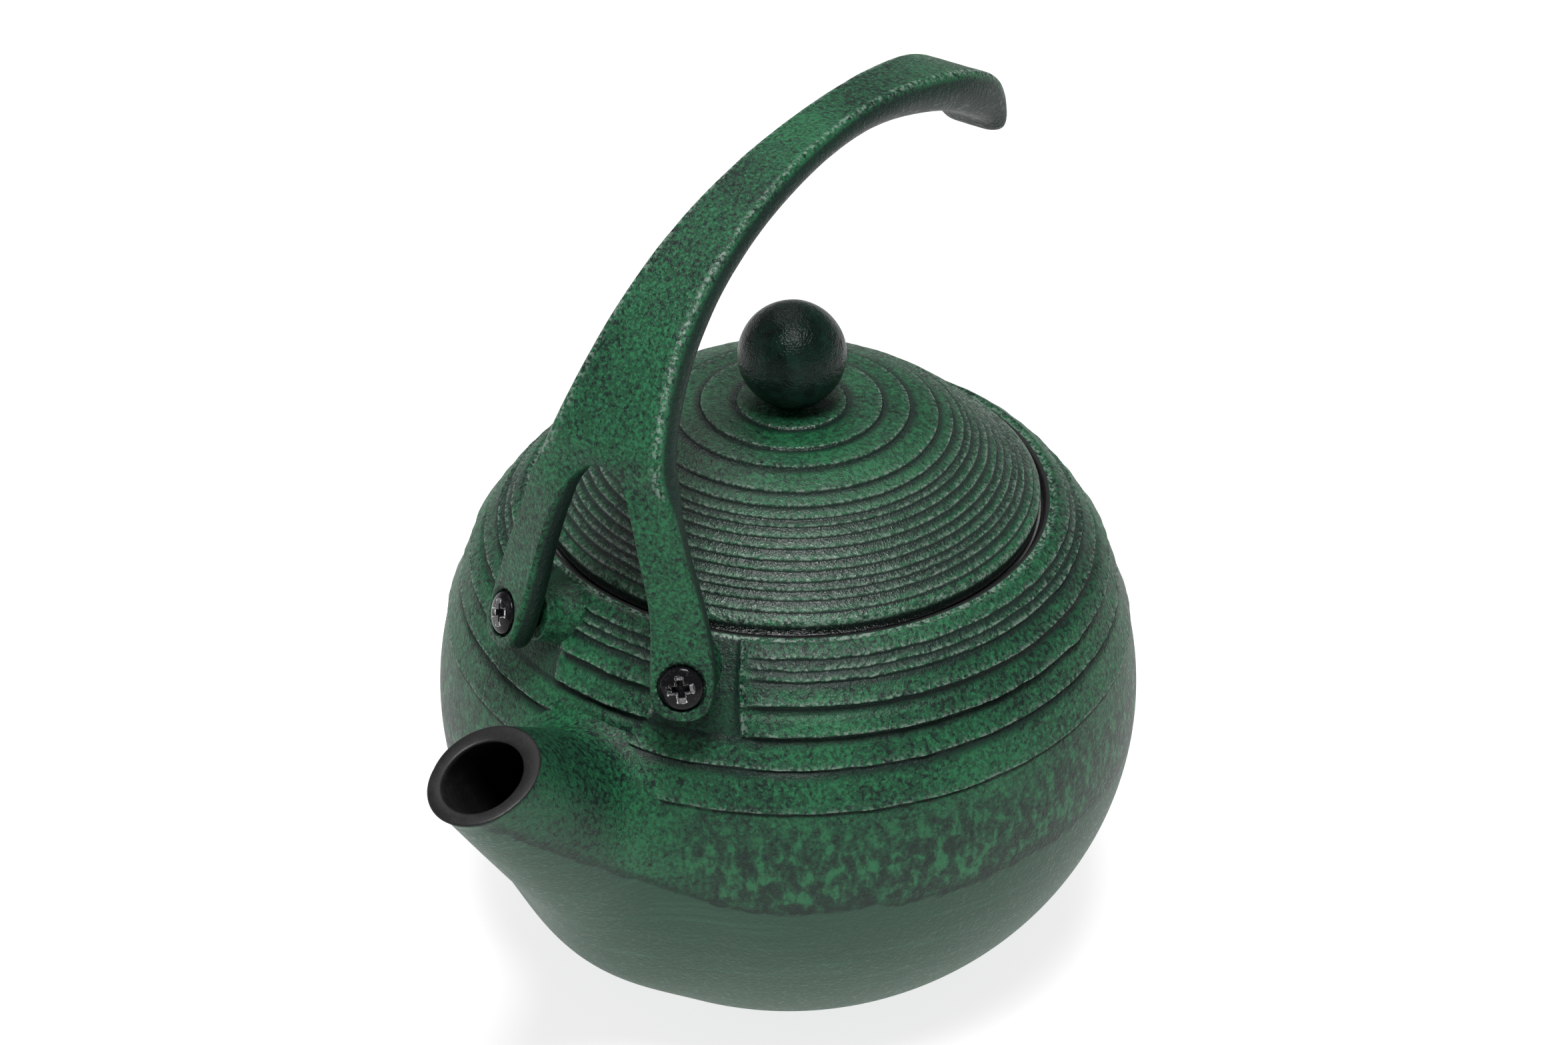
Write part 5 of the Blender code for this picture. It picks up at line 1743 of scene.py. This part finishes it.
def make_knob():
    """The ball knob with its foot and threaded stud, one casting."""
    lid = settings().lid
    radius, foot = lid.knob_radius, lid.knob_foot
    centre = KNOB_HIGH.z - radius
    face = centre - math.sqrt(radius ** 2 - foot ** 2) - 0.25 * MM
    face = max(face, lid_height(hole_edge()) + 0.3 * MM)
    last = math.pi - math.asin((foot + 0.35 * MM) / radius)
    ball = [(radius * math.sin(a), centre + radius * math.cos(a)) for a in spaced(0.0, last, 64)]
    ball[0] = (0.0, centre + radius)
    neck = [(foot + 0.05 * MM, ball[-1][1] - 0.18 * MM), (foot, face + 0.12 * MM),
            (foot - 0.12 * MM, face), (lid.stud_radius, face)]
    root = lid.stud_radius * THREAD_ROOT
    stud = []
    top = face - 4.2 * MM
    bottom = KNOB_LOW.z
    while top - STUD_PITCH > bottom + 0.4 * MM:
        stud += [(lid.stud_radius, top), (lid.stud_radius, top - 0.08 * MM), (root, top - 0.43 * MM),
                 (root, top - 0.5 * MM)]
        top -= STUD_PITCH
    stud += [(root, bottom + 0.25 * MM), (root - 0.25 * MM, bottom), (0.0, bottom)]
    outline = ball + neck + [(lid.stud_radius, face - 4.1 * MM)] + stud
    made = turned("knob_casting", outline, 128, "knob_green")
    mesh = made.data
    place = vectors(mesh)
    away = place - np.array((0.0, 0.0, centre))
    far = np.linalg.norm(away, axis=1)
    on_ball = (far > radius * 0.9) & (place[:, 2] > face + 1.5 * MM)
    lumps = noise_along(place, 260.0, 4) * 0.05 * MM + noise_along(place, 110.0, 9) * 0.07 * MM
    lumps = np.where(on_ball, lumps - 0.03 * MM, 0.0)
    place = place + away / np.maximum(far, 1e-6)[:, None] * lumps[:, None]
    mesh.vertices.foreach_set("co", place.ravel())
    mesh.update()
    return made


def hole_edge():
    return settings().lid.stud_radius + HOLE_GAP


def make_washer():
    """A pressed washer with softened edges."""
    hole = hole_edge()
    high, low, radius = WASHER_HIGH.z, WASHER_LOW.z, WASHER_HIGH.x
    soft = 0.1 * MM
    outline = [(hole, low + soft), (hole, high - soft), (hole + soft, high), (radius - soft, high),
               (radius, high - soft), (radius, low + soft), (radius - soft, low), (hole + soft, low)]
    return turned("washer_disc", outline, 96, "bright_steel", closed=True)


def make_nut():
    """A chamfered hexagon nut."""
    hole = hole_edge()
    low, high = NUT_LOW.z, NUT_HIGH.z
    corner = max(NUT_HIGH.x, NUT_HIGH.y)
    steps = 144
    flat = corner * math.cos(math.pi / 6)
    turns = np.arange(steps) * math.tau / steps
    hexagon = flat / np.cos((turns + math.pi / 6) % (math.pi / 3) - math.pi / 6)

    def ring(radius, height):
        return np.column_stack([radius * np.cos(turns), radius * np.sin(turns),
                                np.full(steps, height)])

    bevel = 0.35 * MM
    rows = [ring(hole, low + bevel), ring(hole, high - bevel), ring(hole + bevel, high)]
    for height in [high] + spaced(high - 0.02 * MM, high - 0.5 * MM, 5) \
            + spaced(low + 0.5 * MM, low + 0.02 * MM, 5) + [low]:
        drop = min(high - height, height - low)
        rows.append(ring(np.minimum(hexagon, flat * 0.97 + drop * 1.75), height))
    rows.append(ring(hole + bevel, low))
    skin = Skin()
    rings = [skin.add(row) for row in rows]
    for first, second in zip(rings, rings[1:] + rings[:1]):
        skin.bridge(first, second, 0)
    return edged(skin.build("hexagon_nut", ("bright_steel",)), 28)


# ---- strainer ---------------------------------------------------------------------------

def strainer_part(name, outline):
    return turned(name, outline, settings().strainer.steps, "bright_steel", closed=True)


def make_strainer_rim():
    """The flange and collar, pressed from one sheet with a rounded bend and a rolled edge."""
    steel = settings().strainer.steel
    flange, top, foot = RIM_HIGH.x, RIM_HIGH.z, RIM_LOW.z
    collar = settings().pot.mouth_radius - 0.4 * MM
    bend, soft = 0.8 * MM, 0.1 * MM
    middle = (collar + bend, top - steel - bend)
    turns = spaced(0.0, math.pi / 2, 7)
    outer, inner = [[(middle[0] - far * math.cos(a), middle[1] + far * math.sin(a)) for a in turns]
                    for far in (bend, bend + steel)]
    roll = steel / 2
    edge = [(flange - roll + roll * math.sin(a), top - roll + roll * math.cos(a))
            for a in spaced(0.0, math.pi, 9)]
    end = [(collar, foot + soft), (collar - soft, foot), (collar - steel + soft, foot),
           (collar - steel, foot + soft)]
    return strainer_part("strainer_flange", inner + edge + outer[::-1] + end)


def make_strainer_band():
    """The foot band with its turned-in lip."""
    steel = settings().strainer.steel
    outer, high, low = BAND_HIGH.x, BAND_HIGH.z, BAND_LOW.z
    inside = outer - steel
    lip = SLEEVE_HIGH.x - SLEEVE_TAPER - 1.5 * MM
    bend = 0.7 * MM
    turns = spaced(0.0, math.pi / 2, 7)
    outside_bend, inner_bend = [[(outer - bend + far * math.cos(a), low + bend - far * math.sin(a))
                                 for a in turns] for far in (bend, bend - steel)]
    top = [(inside, high - 0.1 * MM), (inside + 0.12 * MM, high), (outer - 0.12 * MM, high),
           (outer, high - 0.12 * MM)]
    lower = [(lip, low), (lip, low + steel)]
    return strainer_part("strainer_foot_band", top + outside_bend + lower + inner_bend[::-1])


def perforated(name, tree_maker, values):
    mesh = bpy.data.meshes.new(name + "_seed")
    mesh.from_pydata([(0, 0, 0)], [], [])
    seed = link(bpy.data.objects.new(name + "_seed", mesh))
    shaped(seed, tree_maker, {**values, "Open share": settings().strainer.open_share,
                              "Material": finish("mesh_steel")})
    made = baked(seed, name)
    outward(made)
    return edged(made, 40)


def make_sleeve():
    """The perforated sleeve."""
    size = settings().strainer
    top_radius = SLEEVE_HIGH.x
    high, low = SLEEVE_HIGH.z, SLEEVE_LOW.z
    foot_radius = top_radius - SLEEVE_TAPER
    around = int(math.tau * (top_radius + foot_radius) / 2 / size.pitch)
    rows = int((high - low) / (size.pitch * ROW_STEP)) + 1
    return perforated("strainer_sleeve", perforated_tree, {
        "Around": around, "Rows": rows, "Top radius": top_radius - size.steel,
        "Foot radius": foot_radius - size.steel, "Top": high, "Foot": low,
        "Thickness": size.steel})


def make_strainer_floor():
    """The perforated floor in its plain border."""
    size = settings().strainer
    radius, high, low = FLOOR_HIGH.x, FLOOR_HIGH.z, FLOOR_LOW.z
    border = radius - 2.2 * MM
    reach = int(1.6 * border / size.pitch) + 1
    cells = perforated("strainer_cells", perforated_disc_tree, {
        "Across": 2 * reach + 1, "Pitch": size.pitch, "Radius": border - size.pitch * 0.45,
        "Foot": low, "Thickness": high - low})
    soft = 0.08 * MM
    outline = [(border - 1.6 * MM, low + soft), (border - 1.6 * MM, high - soft),
               (border - 1.5 * MM, high + 0.02 * MM), (radius - soft, high), (radius, high - soft),
               (radius, low + soft), (radius - soft, low), (border - 1.5 * MM, low - 0.02 * MM)]
    border_ring = turned("strainer_border", outline, 192, "mesh_steel", closed=True)
    made = joined("strainer_base", [cells, border_ring])
    made.data.set_sharp_from_angle(angle=math.radians(40))
    return made


# ---- stage ---------------------------------------------------------------------------------

def area_light(name, place, size, power):
    """A square soft light aimed at the middle of the teapot."""
    light = bpy.data.lights.new(name, "AREA")
    light.size = size
    light.energy = power
    obj = link(bpy.data.objects.new(name, light))
    obj.location = place
    obj.rotation_euler = (Vector((0.0, 0.0, 0.07)) - Vector(place)).to_track_quat("-Z", "Y").to_euler()


SKY_LIGHT = 0.18     # strength of the light from all round
SKY_SEEN = 0.86      # how bright that light looks behind the floor


def make_stage():
    """A pale floor, soft studio light and the camera."""
    stage = settings().stage
    scene = bpy.context.scene
    bpy.ops.mesh.primitive_plane_add(size=60.0, location=(0, 0, -0.0002))
    floor = bpy.context.object
    floor.name = "studio_floor"
    floor.data.materials.append(finish("pale_floor"))

    world = bpy.data.worlds.new("studio_world")
    world.use_nodes = True
    tree = world.node_tree
    seen = tree.nodes.new("ShaderNodeLightPath").outputs["Is Camera Ray"]
    feed(tree, tree.nodes["Background"], {"Color": rgba((1.0, 1.0, 1.0)), "Strength": maths(
        tree, "MULTIPLY_ADD", seen, SKY_SEEN - SKY_LIGHT, SKY_LIGHT)})
    scene.world = world
    area_light("top_softbox", (0.19, -0.29, 1.15), 0.36, 10.5)
    area_light("back_softbox", (-0.35, 0.45, 1.1), 0.7, 3.0)
    area_light("left_fill", (-0.8, -0.7, 0.5), 0.5, 0.5)
    scene.view_settings.view_transform = "Standard"

    camera = bpy.data.cameras.new("view_camera")
    camera.lens = stage.lens
    camera.sensor_width = 36.0
    camera.clip_start = 0.01
    eye = link(bpy.data.objects.new("view_camera", camera))
    turn = (Matrix.Rotation(stage.heading, 4, "Z")
            @ Matrix.Rotation(math.pi / 2 - stage.downward, 4, "X")
            @ Matrix.Rotation(stage.roll, 4, "Z"))
    eye.matrix_world = Matrix.Translation(stage.camera_place) @ turn
    scene.camera = eye


# ---- operators -------------------------------------------------------------------------------

class TEAPOT_OT_finishes(bpy.types.Operator):
    """Make the finishes and the shader groups that they share"""
    bl_idname = "teapot.finishes"
    bl_label = "Finishes"

    def execute(self, context):
        make_finishes()
        return {"FINISHED"}


class TEAPOT_OT_pot(bpy.types.Operator):
    """Make the pot's casting with its spout, terraces and lugs"""
    bl_idname = "teapot.pot"
    bl_label = "Pot"

    def execute(self, context):
        keep(make_pot_shell(), "pot", "green_iron", "pot_body")
        keep(make_lugs(), "pot", "green_iron")
        return {"FINISHED"}


class TEAPOT_OT_handle(bpy.types.Operator):
    """Make the forked handle"""
    bl_idname = "teapot.handle"
    bl_label = "Handle"

    def execute(self, context):
        keep(make_handle(), "pot", "green_iron", "handle")
        return {"FINISHED"}


class TEAPOT_OT_screws(bpy.types.Operator):
    """Make the two screws that hold the handle"""
    bl_idname = "teapot.screws"
    bl_label = "Handle screws"

    def execute(self, context):
        keep(make_screws(), "pot", "black_steel", "handle_screw_left", "handle_screw_right")
        return {"FINISHED"}


class TEAPOT_OT_lid(bpy.types.Operator):
    """Make the terraced lid"""
    bl_idname = "teapot.lid"
    bl_label = "Lid"

    def execute(self, context):
        keep(make_lid(), "lid", "green_iron", "lid")
        return {"FINISHED"}


class TEAPOT_OT_knob(bpy.types.Operator):
    """Make the knob with its stud, washer and nut"""
    bl_idname = "teapot.knob"
    bl_label = "Knob"

    def execute(self, context):
        keep(make_knob(), "lid", "dark_green_iron", "lid_knob")
        keep(make_washer(), "lid", "plain_steel", "knob_washer")
        keep(make_nut(), "lid", "plain_steel", "knob_nut")
        return {"FINISHED"}


class TEAPOT_OT_strainer(bpy.types.Operator):
    """Make the strainer's flange, perforated sleeve, foot band and floor"""
    bl_idname = "teapot.strainer"
    bl_label = "Strainer"

    def execute(self, context):
        keep(make_strainer_rim(), "strainer", "plain_steel", "strainer_rim")
        keep(make_sleeve(), "strainer", "steel_mesh", "strainer_wall")
        keep(make_strainer_band(), "strainer", "plain_steel", "strainer_band")
        keep(make_strainer_floor(), "strainer", "steel_mesh", "strainer_floor")
        return {"FINISHED"}


class TEAPOT_OT_stage(bpy.types.Operator):
    """Set the floor, the lights and the camera"""
    bl_idname = "teapot.stage"
    bl_label = "Stage"

    def execute(self, context):
        make_stage()
        return {"FINISHED"}


OPERATORS = (TEAPOT_OT_finishes, TEAPOT_OT_pot, TEAPOT_OT_handle, TEAPOT_OT_screws, TEAPOT_OT_lid,
             TEAPOT_OT_knob, TEAPOT_OT_strainer, TEAPOT_OT_stage)


class TEAPOT_PT_panel(bpy.types.Panel):
    """Lists the teapot's pieces and their sizes"""
    bl_idname = "TEAPOT_PT_panel"
    bl_label = "Cast Iron Teapot"
    bl_space_type = "VIEW_3D"
    bl_region_type = "UI"
    bl_category = "Teapot"

    def draw(self, context):
        teapot = context.scene.teapot
        for operator in OPERATORS:
            self.layout.operator(operator.bl_idname)
        for title in teapot.bl_rna.properties.keys():
            values = getattr(teapot, title)
            if title == "rna_type" or not isinstance(values, bpy.types.PropertyGroup):
                continue
            box = self.layout.box()
            box.label(text=title.replace("_", " ").capitalize())
            for key in values.bl_rna.properties.keys():
                if key not in ("rna_type", "name"):
                    box.prop(values, key)


CLASSES = (TeapotPotSizes, TeapotSpoutSizes, TeapotHandleSizes, TeapotScrewSizes, TeapotLidSizes,
           TeapotStrainerSizes, TeapotColours, TeapotStage, TeapotSettings, *OPERATORS,
           TEAPOT_PT_panel)


def register():
    for item in CLASSES:
        bpy.utils.register_class(item)
    bpy.types.Scene.teapot = PointerProperty(type=TeapotSettings)


def unregister():
    del bpy.types.Scene.teapot
    for item in reversed(CLASSES):
        bpy.utils.unregister_class(item)


def main():
    register()
    for operator in OPERATORS:
        family, name = operator.bl_idname.split(".")
        getattr(getattr(bpy.ops, family), name)()


if __name__ == "__main__":
    main()
